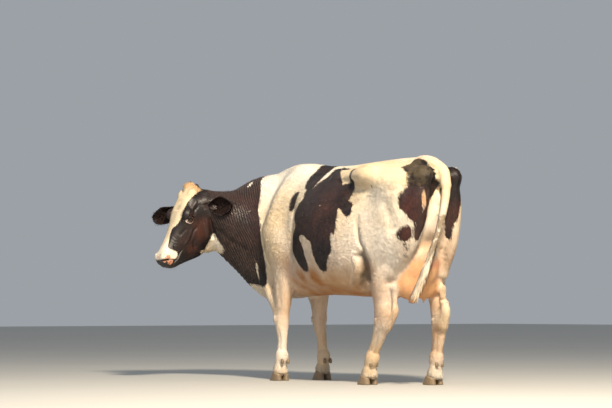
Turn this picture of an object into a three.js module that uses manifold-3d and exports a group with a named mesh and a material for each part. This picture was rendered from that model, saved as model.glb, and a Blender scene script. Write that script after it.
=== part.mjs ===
// A Holstein-Friesian dairy cow, life size, standing still and looking to her left.
//
// The flesh is one smooth field: long limbs and rounded masses that melt into each other, as
// muscle does over bone. Each named part is the piece of that field inside its own cuts, so the
// parts meet face to face and share one outline. Ears, eyes, claws and the tail are made apart.
//
// Millimetres, +Z up, the cow facing -X. Places are given in the cow's own terms, as
// at(forward, left, up), measured from the ground below the middle of her back.

import * as THREE from "three";
import { mergeVertices } from "three/addons/utils/BufferGeometryUtils.js";
import Module from "manifold-3d";

const wasm = await Module();
wasm.setup();

// ---------------------------------------------------------------- driving sizes

const WITHERS_HEIGHT = 1440; // ground to the top of the shoulders
const HEAD_LENGTH = 594; // poll to the end of the muzzle
const GAP = 0.35; // clear space where two parts meet
const CUT_REACH = 3000; // a cutting block is larger than the cow

const at = (forward, left, up) => new THREE.Vector3(-forward, -left, up);
const FORWARD = at(1, 0, 0);
const LEFT = at(0, 1, 0);
const UP = at(0, 0, 1);
const radians = THREE.MathUtils.degToRad;

// The head hangs from the poll, turned to the left, its face pointing steeply down.
const POLL = at(1213, 545, 1347);
const HEAD_TURN = radians(89);
const HEAD_DROP = radians(62);
const HEAD_ROLL = radians(3);

// ---------------------------------------------------------------- the field of flesh

// Distances are negative inside. A blend joins two surfaces with a fillet of about its width.
function blend(a, b, width) {
  const h = Math.max(width - Math.abs(a - b), 0) / width;
  return Math.min(a, b) - (h * h * width) / 4;
}

// A smooth curve through evenly numbered values, read at any place between them.
function between(values, place) {
  const last = values.length - 1;
  const i = Math.min(Math.max(Math.floor(place), 0), last - 1);
  const t = Math.min(Math.max(place - i, 0), 1);
  const [a, b, c, d] = [-1, 0, 1, 2].map((k) => values[Math.min(Math.max(i + k, 0), last)]);
  const slopeB = (c - a) / 2;
  const slopeC = (d - b) / 2;
  const t2 = t * t;
  const t3 = t2 * t;
  return (
    (2 * t3 - 3 * t2 + 1) * b + (t3 - 2 * t2 + t) * slopeB + (3 * t2 - 2 * t3) * c + (t3 - t2) * slopeC
  );
}

// A limb: slices given as [centre, half depth, half width], the width lying along `across`.
function limb(across, slices, finer = 3) {
  const path = new THREE.CatmullRomCurve3(slices.map((s) => s[0]), false, "centripetal");
  const count = (slices.length - 1) * finer;
  const centres = [];
  const deep = [];
  const wide = [];
  for (let i = 0; i <= count; i++) {
    centres.push(path.getPoint(i / count));
    deep.push(between(slices.map((s) => s[1]), i / finer));
    wide.push(between(slices.map((s) => s[2]), i / finer));
  }
  const bone = new THREE.Vector3();
  const away = new THREE.Vector3();
  return (p) => {
    let nearest = Infinity;
    for (let i = 0; i < count; i++) {
      bone.subVectors(centres[i + 1], centres[i]);
      away.subVectors(p, centres[i]);
      const t = Math.min(Math.max(away.dot(bone) / bone.lengthSq(), 0), 1);
      away.addScaledVector(bone, -t);
      const d = deep[i] + (deep[i + 1] - deep[i]) * t;
      const w = wide[i] + (wide[i + 1] - wide[i]) * t;
      const side = away.dot(across);
      const rest = Math.sqrt(Math.max(away.lengthSq() - side * side, 0));
      const distance = (Math.hypot(rest / d, side / w) - 1) * Math.min(d, w);
      nearest = Math.min(nearest, distance);
    }
    return nearest;
  };
}

// A mass: an ellipsoid with its half sizes along the three directions of `frame`.
function mass(centre, halves, frame = [FORWARD, LEFT, UP]) {
  const away = new THREE.Vector3();
  const least = Math.min(...halves);
  return (p) => {
    away.subVectors(p, centre);
    const [a, b, c] = frame.map((axis, k) => away.dot(axis) / halves[k]);
    return (Math.hypot(a, b, c) - 1) * least;
  };
}

// The hull of the body or the head: at each station along `along` it has a top, a bottom, a half
// width, and the height where it is widest. Above and below that height it is a superellipse.
function hull(origin, along, side, up, stations, roundness) {
  const columns = [1, 2, 3, 4].map((k) => stations.map((row) => row[k]));
  const away = new THREE.Vector3();
  const direction = Math.sign(stations[1][0] - stations[0][0]);
  const placeOf = (s) => {
    let i = 0;
    while (i < stations.length - 2 && direction * (s - stations[i + 1][0]) > 0) i++;
    return i + (s - stations[i][0]) / (stations[i + 1][0] - stations[i][0]);
  };
  return (p) => {
    away.subVectors(p, origin);
    const place = placeOf(away.dot(along));
    const beyond = Math.max(-place, place - (stations.length - 1), 0);
    const [top, bottom, half, widest] = columns.map((column) => between(column, place));
    const height = away.dot(up) - widest;
    const reach = Math.max(height > 0 ? top - widest : widest - bottom, 1);
    const power = height > 0 ? roundness[0] : roundness[1];
    const ratio =
      ((Math.abs(away.dot(side)) / half) ** power + (Math.abs(height) / reach) ** power) ** (1 / power);
    return (ratio - 1 + beyond) * Math.min(half, reach);
  };
}

// ---------------------------------------------------------------- trunk

// forward, top, bottom, half width, height of the widest place
const TORSO = [
  [870, 1140, 840, 30, 960],
  [800, 1260, 690, 105, 950],
  [690, 1400, 610, 180, 940],
  [560, 1430, 590, 228, 930],
  [360, 1420, 580, 282, 915],
  [100, 1412, 572, 342, 890],
  [-150, 1422, 564, 358, 880],
  [-350, 1422, 592, 322, 905],
  [-550, 1416, 760, 256, 1020],
  [-670, 1396, 880, 190, 1110],
  [-735, 1300, 960, 105, 1160],
  [-775, 1220, 1060, 25, 1150],
];
const torso = hull(at(0, 0, 0), FORWARD, LEFT, UP, TORSO, [2.05, 2.3]);

const spine = limb(LEFT, [
  [at(760, 0, 1400), 26, 22],
  [at(590, 0, WITHERS_HEIGHT - 26), 26, 24],
  [at(300, 0, 1404), 20, 20],
  [at(0, 0, 1398), 20, 20],
  [at(-330, 0, 1408), 22, 24],
  [at(-560, 0, 1408), 26, 30],
  [at(-690, 0, 1392), 32, 32],
]);

// The tail leaves the rump level, arches over and hangs a little to the left.
const tailSlices = [
  [at(-640, 0, 1386), 46, 48],
  [at(-730, 0, 1380), 42, 42],
  [at(-804, 2, 1342), 36, 36],
  [at(-838, 6, 1262), 31, 31],
  [at(-838, 16, 1150), 27, 27],
  [at(-822, 40, 1010), 22, 22],
  [at(-798, 72, 880), 19, 18],
  [at(-772, 106, 760), 20, 18],
  [at(-748, 138, 660), 22, 20],
  [at(-730, 164, 590), 21, 20],
  [at(-715, 185, 536), 14, 13],
];
const tailRoot = limb(LEFT, tailSlices.slice(0, 4));

// Each pair of masses is made once and mirrored by the sign of `side`: left is 1, right is -1.
const shoulder = (side) => [
  limb(LEFT, [
    [at(560, 70 * side, 1370), 90, 40],
    [at(620, 165 * side, 1200), 110, 52],
    [at(700, 200 * side, 1020), 95, 56],
  ]),
  mass(at(600, 205 * side, 900), [150, 72, 150]),
];
const hip = (side) => [
  mass(at(-342, 224 * side, 1326), [96, 66, 52]),
  limb(LEFT, [
    [at(60, 110 * side, 1345), 40, 70],
    [at(-200, 165 * side, 1345), 46, 80],
    [at(-350, 200 * side, 1328), 58, 70],
  ]),
  limb(LEFT, [
    [at(-345, 212 * side, 1326), 56, 60],
    [at(-560, 208 * side, 1268), 64, 58],
    [at(-745, 130 * side, 1310), 42, 44],
  ]),
  limb(LEFT, [
    [at(-330, 130 * side, 1350), 46, 70],
    [at(-520, 120 * side, 1350), 46, 68],
    [at(-690, 78 * side, 1346), 40, 48],
  ]),
  mass(at(-765, 120 * side, 1320), [42, 42, 46]),
];
const brisket = mass(at(720, 0, 700), [120, 90, 118]);

// ---------------------------------------------------------------- legs

// Each foot stands so far forward and out from the middle. The leg hangs from `top`, the forward
// place of its elbow or hip, and its joints lie part of the way from there to over the foot.
const FOOT = {
  foreleg_left: { side: 1, top: 612, forward: 660, out: 170 },
  foreleg_right: { side: -1, top: 646, forward: 588, out: 140 },
  hindleg_left: { side: 1, top: -500, forward: -245, out: 150 },
  hindleg_right: { side: -1, top: -500, forward: -520, out: 165 },
};

function foreLeg({ side, top, forward, out }) {
  const step = forward - 18 - top;
  const joint = (along, across, up, follow) =>
    at(top + along + step * follow, (across + (out - 160) * follow) * side, up);
  return limb(LEFT, [
    [joint(16, 190, 900, 0), 110, 64],
    [joint(-6, 180, 760, 0), 96, 66],
    [joint(0, 170, 640, 0.1), 80, 62],
    [joint(6, 163, 540, 0.25), 68, 55],
    [joint(12, 160, 460, 0.35), 54, 48],
    [joint(16, 159, 400, 0.45), 52, 51],
    [joint(10, 159, 345, 0.55), 44, 44],
    [joint(0, 158, 280, 0.7), 38, 34],
    [joint(0, 158, 205, 0.85), 39, 35],
    [joint(-6, 159, 165, 0.95), 48, 46],
    [joint(4, 160, 118, 1), 38, 46],
    [joint(10, 160, 60, 1), 44, 52],
  ]);
}

function hindLeg({ side, top, forward, out }) {
  const step = forward - 28 - top;
  const joint = (along, across, up, follow) =>
    at(top + along + step * follow, (across + (out - 152) * follow) * side, up);
  return limb(LEFT, [
    [joint(-20, 185, 1180, 0), 185, 90],
    [joint(0, 196, 980, 0.1), 172, 78],
    [joint(30, 192, 820, 0.28), 124, 68],
    [joint(0, 176, 650, 0.45), 86, 56],
    [joint(-34, 161, 535, 0.6), 66, 47],
    [joint(-56, 155, 450, 0.66), 72, 48],
    [joint(-50, 152, 365, 0.74), 62, 43],
    [joint(-34, 151, 275, 0.85), 47, 37],
    [joint(-18, 151, 215, 0.92), 43, 36],
    [joint(-10, 152, 172, 0.95), 50, 46],
    [joint(0, 152, 120, 1), 39, 46],
    [joint(8, 152, 60, 1), 45, 52],
  ]);
}

// The muscle and loose skin that run from the breast down the front of the forearm.
function foreMass({ side, forward }) {
  const front = side > 0 ? forward : forward + 28; // the right leg stands under the chest
  return limb(LEFT, [
    [at(front + 190, 130 * side, 800), 84, 56],
    [at(front + 156, 146 * side, 684), 70, 50],
    [at(front + 92, 164 * side, 584), 50, 44],
    [at(front + 40, 168 * side, 500), 34, 36],
    [at(front + 16, 165 * side, 430), 26, 30],
  ]);
}

// The stifle, the muscle behind the thigh, and the tendon that ends on the point of the hock.
function hindMass({ side, top, forward }) {
  const step = forward - 28 - top;
  const joint = (along, across, up, follow) => at(top + along + step * follow, across * side, up);
  return [
    mass(joint(115, 212, 930, 0.2), [80, 66, 120]),
    limb(LEFT, [
      [joint(-235, 122, 1290, 0), 60, 62],
      [joint(-215, 138, 1120, 0), 82, 68],
      [joint(-155, 152, 900, 0.12), 88, 64],
      [joint(-100, 158, 720, 0.4), 46, 42],
    ]),
    limb(LEFT, [
      [joint(-112, 144, 612, 0.48), 27, 22],
      [joint(-132, 140, 520, 0.6), 27, 23],
      [joint(-142, 138, 470, 0.64), 31, 28],
      [joint(-100, 142, 385, 0.72), 30, 26],
    ]),
  ];
}

// ---------------------------------------------------------------- neck and head

const heading = at(Math.cos(HEAD_TURN), Math.sin(HEAD_TURN), 0);
const headSide = at(-Math.sin(HEAD_TURN), Math.cos(HEAD_TURN), 0);
const nose = heading
  .clone()
  .multiplyScalar(Math.cos(HEAD_DROP))
  .addScaledVector(UP, -Math.sin(HEAD_DROP));
headSide.applyAxisAngle(nose, HEAD_ROLL);
const brow = new THREE.Vector3().crossVectors(nose, headSide);

// A place on the head: along the face from the poll, out to its left, and up off the forehead.
const onHead = (along, left, out) =>
  POLL.clone().addScaledVector(nose, along).addScaledVector(headSide, left).addScaledVector(brow, out);
const headFrame = [nose, headSide, brow];

const neck = limb(LEFT, [
  [at(560, 0, 1020), 405, 180],
  [at(800, 30, 1045), 385, 150],
  [at(960, 110, 1060), 345, 122],
  [at(1080, 220, 1070), 252, 108],
  [at(1160, 345, 1116), 192, 98],
  [at(1198, 440, 1168), 152, 92],
  [onHead(110, 0, -140), 120, 86],
]);

// The fold of loose skin that hangs below the neck and between the forelegs.
const dewlap = limb(LEFT, [
  [at(1198, 398, 918), 30, 27],
  [at(1150, 330, 948), 40, 36],
  [at(1060, 205, 826), 64, 40],
  [at(965, 125, 696), 78, 48],
  [at(880, 80, 626), 74, 58],
  [at(740, 0, 664), 66, 66],
  [at(600, 0, 668), 56, 70],
]);

// along the face, top, bottom, half width, out-going height of the widest place
const FACE = [
  [-8, -34, -90, 38, -60],
  [20, -12, -160, 66, -66],
  [90, 8, -225, 98, -76],
  [170, 12, -278, 108, -84],
  [245, 6, -318, 103, -92],
  [310, -4, -342, 88, -114],
  [380, -10, -322, 74, -116],
  [450, -12, -270, 65, -102],
  [520, -12, -208, 66, -88],
  [562, -18, -160, 69, -84],
  [580, -28, -148, 61, -82],
  [592, -46, -132, 45, -84],
  [HEAD_LENGTH + 5, -66, -110, 22, -86],
];
const skull = hull(POLL, nose, headSide, brow, FACE, [2.6, 2.2]);

const headMasses = [
  mass(onHead(20, 0, -12), [44, 46, 36], headFrame), // poll, with its tuft of hair
  mass(onHead(300, 0, -222), [130, 64, 84], headFrame), // jaws
  mass(onHead(526, 0, -148), [50, 46, 32], headFrame), // chin
  mass(onHead(552, 0, -84), [46, 66, 50], headFrame), // upper lip
];
// The head isn't quite even: the left ear is laid back and the right one is pricked.
const BROW_RIDGE = { 1: [222, 95, -42], [-1]: [216, -104, -26] };
const EAR_ROOT = { 1: [98, 92, -138], [-1]: [116, -86, -96] };
const cheek = (side) => [
  mass(onHead(66, 66 * side, -26), [36, 30, 34], headFrame), // corner of the brow
  mass(onHead(...BROW_RIDGE[side]), [46, 28, 38], headFrame), // brow over the eye
  mass(onHead(268, 76 * side, -190), [92, 26, 96], headFrame), // chewing muscle
  mass(onHead(548, 44 * side, -56), [34, 26, 34], headFrame), // wing of the nostril
  mass(onHead(...EAR_ROOT[side]), [44, 36, 44], headFrame), // root of the ear
];

// ---------------------------------------------------------------- udder

const udderMasses = [
  mass(at(-500, 0, 712), [190, 150, 130]),
  mass(at(-590, 0, 800), [110, 130, 160]),
  ...[1, -1].flatMap((side) => [
    mass(at(-425, 66 * side, 638), [95, 74, 92]),
    mass(at(-545, 66 * side, 634), [95, 78, 92]),
  ]),
];
const TEATS = {
  teat_front_left: at(-425, 76, 569),
  teat_front_right: at(-425, -76, 569),
  teat_rear_left: at(-552, 60, 565),
  teat_rear_right: at(-552, -60, 565),
};
const TEAT_LENGTH = 50;
const TEAT_RADIUS = 13;

// ---------------------------------------------------------------- the whole field

const SOFT = 70; // fillet where big masses meet
const FINE = 26; // fillet on the face and the feet
const groups = [
  [SOFT, [torso, spine, tailRoot, brisket, neck, dewlap]],
  [SOFT, [1, -1].flatMap((side) => [...shoulder(side), ...hip(side)])],
  [
    45,
    [
      foreLeg(FOOT.foreleg_left),
      foreLeg(FOOT.foreleg_right),
      foreMass(FOOT.foreleg_left),
      foreMass(FOOT.foreleg_right),
      hindLeg(FOOT.hindleg_left),
      hindLeg(FOOT.hindleg_right),
      ...hindMass(FOOT.hindleg_left),
      ...hindMass(FOOT.hindleg_right),
    ],
  ],
  [FINE, [skull, ...headMasses, ...cheek(1), ...cheek(-1)]],
  [28, udderMasses],
];

function flesh(p) {
  let distance = Infinity;
  for (const [width, shapes] of groups) {
    let group = Infinity;
    for (const shape of shapes) group = blend(group, shape(p), width);
    distance = blend(distance, group, 34);
  }
  return distance;
}

// ---------------------------------------------------------------- from field to solid

// Surface nets: one vertex in each cell that the surface crosses, one quad across each edge.
function polygonize(field, [lowest, highest], cell) {
  const low = lowest.clone().addScaledVector(cell, -2);
  const size = highest.clone().addScaledVector(cell, 2).sub(low).divide(cell);
  const [nx, ny, nz] = size.toArray().map((count) => Math.ceil(count) + 1);
  const index = (i, j, k) => (k * ny + j) * nx + i;
  const values = new Float64Array(nx * ny * nz);
  const p = new THREE.Vector3();
  const border = (i, n) => i === 0 || i === n - 1;
  for (let k = 0; k < nz; k++)
    for (let j = 0; j < ny; j++)
      for (let i = 0; i < nx; i++) {
        p.set(i, j, k).multiply(cell).add(low);
        const outside = border(i, nx) || border(j, ny) || border(k, nz);
        values[index(i, j, k)] = outside ? cell.x : field(p);
      }
  const corners = [];
  for (let c = 0; c < 8; c++) corners.push([c & 1, (c >> 1) & 1, (c >> 2) & 1]);
  const edges = [];
  for (let a = 0; a < 8; a++)
    for (const bit of [1, 2, 4]) if (!(a & bit)) edges.push([a, a | bit]);
  const vertexOf = new Map();
  const positions = [];
  for (let k = 0; k < nz - 1; k++)
    for (let j = 0; j < ny - 1; j++)
      for (let i = 0; i < nx - 1; i++) {
        const v = corners.map(([a, b, c]) => values[index(i + a, j + b, k + c)]);
        const inside = v.filter((x) => x < 0).length;
        if (inside === 0 || inside === 8) continue;
        const sum = [0, 0, 0];
        let crossings = 0;
        for (const [a, b] of edges) {
          if (v[a] < 0 === v[b] < 0) continue;
          const t = v[a] / (v[a] - v[b]);
          for (let axis = 0; axis < 3; axis++)
            sum[axis] += corners[a][axis] + t * (corners[b][axis] - corners[a][axis]);
          crossings++;
        }
        vertexOf.set(index(i, j, k), positions.length / 3);
        p.fromArray(sum).divideScalar(crossings);
        p.x += i;
        p.y += j;
        p.z += k;
        positions.push(...p.multiply(cell).add(low).toArray());
      }
  const faces = [];
  const strides = [1, nx, nx * ny];
  for (let k = 0; k < nz - 1; k++)
    for (let j = 0; j < ny - 1; j++)
      for (let i = 0; i < nx - 1; i++)
        for (let axis = 0; axis < 3; axis++) {
          if ([i, j, k].some((place, other) => place === 0 && other !== axis)) continue;
          const here = index(i, j, k);
          const insideHere = values[here] < 0;
          if (insideHere === values[here + strides[axis]] < 0) continue;
          const u = strides[(axis + 1) % 3];
          const w = strides[(axis + 2) % 3];
          const quad = [here, here - u, here - u - w, here - w].map((c) => vertexOf.get(c));
          if (!insideHere) quad.reverse();
          faces.push(quad[0], quad[1], quad[2], quad[0], quad[2], quad[3]);
        }
  return solidFrom(new Float32Array(positions), new Uint32Array(faces));
}

const solidFrom = (vertProperties, triVerts) =>
  new wasm.Manifold(new wasm.Mesh({ numProp: 3, vertProperties, triVerts }));

// A three.js geometry as a solid.
function solidOf(geometry) {
  const bare = geometry.clone();
  bare.deleteAttribute("normal");
  bare.deleteAttribute("uv");
  const { attributes, index } = mergeVertices(bare, 1e-3);
  return solidFrom(new Float32Array(attributes.position.array), new Uint32Array(index.array));
}

// A cut is a plane through `point`; what lies on the side that `direction` shows is kept.
const cut = (point, direction) => ({ point, direction: direction.clone().normalize() });
const other = ({ point, direction }) => cut(point, direction.clone().negate());

// The space kept by a list of cuts, drawn in from each plane by `margin`.
function region(cuts, margin) {
  return cuts
    .map(({ point, direction }) => {
      const block = new THREE.BoxGeometry(CUT_REACH, CUT_REACH, CUT_REACH);
      block.translate(0, 0, CUT_REACH / 2);
      block.applyQuaternion(new THREE.Quaternion().setFromUnitVectors(UP, direction));
      block.translate(...point.clone().addScaledVector(direction, margin).toArray());
      return solidOf(block);
    })
    .reduce((all, block) => all.intersect(block));
}

const largest = (solid) =>
  solid.decompose().reduce((most, piece) => (piece.volume() > most.volume() ? piece : most));

// The flesh between two corners, in cells of one size, inside `cuts` and outside each of `others`.
function fleshPart(box, cell, cuts, others = [], field = flesh) {
  let solid = polygonize(field, box, new THREE.Vector3(...cell)).intersect(region(cuts, GAP / 2));
  for (const outer of others) solid = solid.subtract(region(outer, -GAP / 2));
  return largest(solid);
}

const SKIN_CLEARANCE = 0.6; // how far a part that is set on the flesh is trimmed clear of it
const corners = (...points) => {
  const box = new THREE.Box3().setFromPoints(points);
  return [box.min, box.max];
};

// A closed skin through rings of equally many points, with a flat end at each side.
function loft(rings) {
  const count = rings[0].length;
  const points = rings.flat();
  const faces = [];
  for (let r = 0; r < rings.length - 1; r++)
    for (let i = 0; i < count; i++) {
      const a = r * count + i;
      const b = r * count + ((i + 1) % count);
      faces.push(a, b, b + count, a, b + count, a + count);
    }
  for (const [ring, first] of [[0, true], [rings.length - 1, false]]) {
    const centre = new THREE.Vector3();
    rings[ring].forEach((p) => centre.addScaledVector(p, 1 / count));
    points.push(centre);
    for (let i = 0; i < count; i++) {
      const a = ring * count + i;
      const b = ring * count + ((i + 1) % count);
      faces.push(...(first ? [points.length - 1, b, a] : [points.length - 1, a, b]));
    }
  }
  const geometry = new THREE.BufferGeometry().setFromPoints(points);
  geometry.setIndex(faces);
  const solid = solidOf(geometry);
  if (solid.volume() > 0) return solid;
  geometry.setIndex(faces.reverse());
  return solidOf(geometry);
}

// A tapering rope along the path of a limb's slices, between two places counted in slices.
function rope(across, slices, [from, to], sides = 8, finer = 2) {
  const path = new THREE.CatmullRomCurve3(slices.map((s) => s[0]), false, "centripetal");
  const rings = [];
  const count = Math.round((to - from) * finer);
  for (let i = 0; i <= count; i++) {
    const place = from + ((to - from) * i) / count;
    const share = place / (slices.length - 1);
    const front = new THREE.Vector3().crossVectors(across, path.getTangent(share)).normalize();
    const deep = between(slices.map((s) => s[1]), place);
    const wide = between(slices.map((s) => s[2]), place);
    const ring = [];
    for (let k = 0; k < sides; k++) {
      const angle = (2 * Math.PI * k) / sides;
      const point = path.getPoint(share).addScaledVector(front, deep * Math.cos(angle));
      ring.push(point.addScaledVector(across, wide * Math.sin(angle)));
    }
    rings.push(ring);
  }
  return loft(rings);
}

function ball(centre, halves, across = 12, down = 7) {
  const geometry = new THREE.SphereGeometry(1, across, down);
  geometry.scale(...halves);
  geometry.translate(...centre.toArray());
  return solidOf(geometry);
}

// ---------------------------------------------------------------- materials

const paint = (color, roughness) =>
  new THREE.MeshStandardMaterial({ color, roughness, metalness: 0 });
const whiteCoat = paint("#e6dccb", 0.8);
const blackCoat = paint("#2a2422", 0.7);
const udderSkin = paint("#e0b08c", 0.6);
const clawHorn = paint("#5a4c3c", 0.45);
const eyeBall = paint("#1c120d", 0.1);

// A cut leaves slivers: an edge shorter than this is drawn together into one point.
const SHORTEST_EDGE = 0.2;

function withoutSlivers(positions, triangles) {
  const standIn = Array.from({ length: positions.length / 3 }, (_, i) => i);
  const settle = (i) => {
    while (standIn[i] !== i) i = standIn[i];
    return i;
  };
  const a = new THREE.Vector3();
  const b = new THREE.Vector3();
  for (let i = 0; i < triangles.length; i++) {
    a.fromArray(positions, triangles[i] * 3);
    b.fromArray(positions, triangles[i % 3 === 2 ? i - 2 : i + 1] * 3);
    if (a.distanceTo(b) >= SHORTEST_EDGE) continue;
    const ends = [triangles[i], triangles[i % 3 === 2 ? i - 2 : i + 1]].map(settle);
    standIn[Math.max(...ends)] = Math.min(...ends);
  }
  const kept = [];
  for (let i = 0; i < triangles.length; i += 3) {
    const face = [0, 1, 2].map((k) => settle(triangles[i + k]));
    if (new Set(face).size === 3) kept.push(...face);
  }
  return kept;
}

const cow = new THREE.Group();
function addPart(name, solid, material) {
  const mesh = solid.getMesh();
  const positions = new Float32Array(mesh.numVert * 3);
  for (let i = 0; i < mesh.numVert; i++)
    positions.set(mesh.vertProperties.subarray(i * mesh.numProp, i * mesh.numProp + 3), i * 3);
  const geometry = new THREE.BufferGeometry();
  geometry.setAttribute("position", new THREE.BufferAttribute(positions, 3));
  geometry.setIndex(withoutSlivers(positions, mesh.triVerts));
  geometry.computeVertexNormals();
  const part = new THREE.Mesh(geometry, material);
  part.name = name;
  cow.add(part);
}

// ---------------------------------------------------------------- where the parts meet

const neckCut = cut(at(800, 30, 1120), at(0.97, 0.2, 0.12));
const headCut = cut(onHead(60, 0, -150), nose.clone().multiplyScalar(0.8).add(brow));
const muzzleCut = cut(onHead(458, 0, 0), nose);
const mouthCut = cut(onHead(HEAD_LENGTH, 0, -116), brow.clone().addScaledVector(nose, -0.12));
const chestCut = cut(at(330, 0, 0), FORWARD);
const loinCut = cut(at(-290, 0, 0), FORWARD);

// The block of space that an upper leg or the udder fills below the trunk.
const armSpace = (side) => [
  cut(at(0, 0, 760), at(0, 0, -1)),
  cut(at(0, 98 * side, 0), at(0, side, 0)),
  cut(at(480, 0, 0), at(1, 0, 0.1)),
  other(neckCut),
];
const thighSpace = (side) => [
  cut(at(-500, 0, 1010), at(0.25, 0, -1)),
  cut(at(0, 104 * side, 0), at(0, side, 0)),
  cut(at(-290, 0, 800), at(-1, 0, -0.25)),
];
const udderSpace = [
  cut(at(0, 0, 880), at(0, 0, -1)),
  cut(at(0, 104, 0), at(0, -1, 0)),
  cut(at(0, -104, 0), at(0, 1, 0)),
  cut(at(-290, 0, 800), at(-1, 0, -0.25)),
];

// ---------------------------------------------------------------- trunk and neck

const spaces = [armSpace(1), armSpace(-1), thighSpace(1), thighSpace(-1), udderSpace];
const chestBox = corners(at(900, 320, 520), at(330, -320, 1460));
addPart("chest", fleshPart(chestBox, [92, 78, 84], [other(neckCut), chestCut], spaces), whiteCoat);
const barrelBox = corners(at(330, 390, 560), at(-290, -390, 1450));
addPart("barrel", fleshPart(barrelBox, [130, 85, 81], [other(chestCut), loinCut], spaces), whiteCoat);
const tailCut = cut(at(-812, 5, 1288), at(-0.2, 0, -1));
const tailSpace = [
  tailCut,
  cut(at(-778, 0, 0), at(-1, 0, 0)),
  cut(at(0, 60, 0), at(0, -1, 0)),
  cut(at(0, -60, 0), at(0, 1, 0)),
];
const rumpBox = corners(at(-290, 370, 560), at(-880, -370, 1450));
addPart(
  "hindquarters",
  fleshPart(rumpBox, [73, 69, 71], [other(loinCut)], [...spaces, tailSpace]),
  whiteCoat,
);

const udderCorners = corners(at(-290, 110, 520), at(-800, -110, 900));
const UDDER_CELL = [54, 42, 48];
addPart("udder", fleshPart(udderCorners, UDDER_CELL, udderSpace), udderSkin);

// A teat is a blunt finger of bare skin, turned on a lathe and set against the udder.
const clearOfUdder = polygonize(
  (p) => flesh(p) - SKIN_CLEARANCE,
  udderCorners,
  new THREE.Vector3(...UDDER_CELL),
);
const TEAT_PROFILE = [[0, -1], [0.45, -1], [0.85, -0.9], [0.92, -0.6], [1, -0.1], [1.25, 0.5], [0, 0.5]];
for (const [name, root] of Object.entries(TEATS)) {
  const outline = TEAT_PROFILE.map(([r, h]) => new THREE.Vector2(r * TEAT_RADIUS, h * TEAT_LENGTH));
  const teat = new THREE.LatheGeometry(outline, 8);
  teat.rotateX(Math.PI / 2);
  teat.translate(...root.toArray());
  addPart(name, largest(solidOf(teat).subtract(clearOfUdder)), udderSkin);
}

const neckBox = corners(at(700, 640, 500), at(1320, -200, 1450));
addPart("neck", fleshPart(neckBox, [84, 82, 88], [neckCut, other(headCut)]), blackCoat);

// ---------------------------------------------------------------- head

const headCorners = corners(
  ...[-40, 625].flatMap((along) =>
    [-125, 125].flatMap((left) => [-330, 40].map((out) => onHead(along, left, out))),
  ),
);
const HEAD_CELL = [34, 34, 34];
const EYE_RADIUS = 21;
const eyeAt = (side) => onHead(242, 100 * side, -78);
let upperHead = fleshPart(headCorners, HEAD_CELL, [headCut, other(muzzleCut), mouthCut]);
for (const side of [1, -1]) {
  const socket = EYE_RADIUS + GAP;
  upperHead = upperHead.subtract(ball(eyeAt(side), [socket, socket, socket]));
}
addPart("head", upperHead, blackCoat);
addPart("muzzle", fleshPart(headCorners, [26, 26, 26], [headCut, muzzleCut, mouthCut]), whiteCoat);
addPart("lower_jaw", fleshPart(headCorners, HEAD_CELL, [headCut, other(mouthCut)]), blackCoat);
addPart("eye_left", ball(eyeAt(1), [EYE_RADIUS, EYE_RADIUS, EYE_RADIUS]), eyeBall);
addPart("eye_right", ball(eyeAt(-1), [EYE_RADIUS, EYE_RADIUS, EYE_RADIUS]), eyeBall);

// An ear is a rolled leaf: a tube at its root that opens to a shallow cup and closes to a tip.
const EAR_THICKNESS = 8;
function ear(root, direction, opening, length, breadth) {
  const axis = direction.clone().normalize();
  const open = opening.clone().addScaledVector(axis, -opening.dot(axis)).normalize();
  const across = new THREE.Vector3().crossVectors(axis, open);
  const rings = [];
  const lengths = 7;
  const turns = 4;
  for (let i = 0; i <= lengths; i++) {
    const t = i / lengths;
    const halfArc = 18 + breadth * Math.sin(Math.PI * Math.min(t ** 1.15 * 1.01, 1)) ** 0.56;
    const roll = radians(150 - 92 * Math.min(t * 1.6, 1));
    const radius = halfArc / roll;
    const middle = root
      .clone()
      .addScaledVector(axis, length * t)
      .addScaledVector(open, radius - 16 * t * t);
    const ring = [];
    for (let k = 0; k <= 2 * turns + 1; k++) {
      const outer = k <= turns;
      const angle = roll * (outer ? (2 * k) / turns - 1 : 1 - (2 * (k - turns - 1)) / turns);
      const reach = radius + (outer ? EAR_THICKNESS / 2 : -EAR_THICKNESS / 2);
      ring.push(
        middle
          .clone()
          .addScaledVector(open, -Math.cos(angle) * Math.max(reach, 1))
          .addScaledVector(across, Math.sin(angle) * Math.max(reach, 1)),
      );
    }
    rings.push(ring);
  }
  return loft(rings);
}
const clearOfHead = polygonize(
  (p) => flesh(p) - SKIN_CLEARANCE,
  headCorners,
  new THREE.Vector3(...HEAD_CELL),
);
const away = (along, left, out) => onHead(along, left, out).sub(POLL);
const leftEar = ear(onHead(88, 108, -160), away(-0.16, 0.9, -0.38), away(0.5, 0.42, 0.62), 180, 60);
const rightEar = ear(onHead(126, -104, -82), away(0.68, -0.58, 0.44), away(0.4, 0.7, 0.4), 222, 54);
addPart("ear_left", largest(leftEar.subtract(clearOfHead)), blackCoat);
addPart("ear_right", largest(rightEar.subtract(clearOfHead)), blackCoat);

// ---------------------------------------------------------------- tail

const TAIL_REACH = [2.2, 7.2]; // from the root to the switch, counted in slices
const SWITCH_REACH = [6.2, tailSlices.length - 1];
const switchCut = cut(tailSlices[7][0].clone().lerp(tailSlices[6][0], 0.3), at(0.2, 0.3, -1));
addPart(
  "tail",
  rope(LEFT, tailSlices, TAIL_REACH).intersect(region([tailCut, other(switchCut)], GAP / 2)),
  whiteCoat,
);
addPart(
  "tail_switch",
  rope(LEFT, tailSlices, SWITCH_REACH).intersect(region([switchCut], GAP / 2)),
  whiteCoat,
);

// ---------------------------------------------------------------- legs, claws and dewclaws

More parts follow.
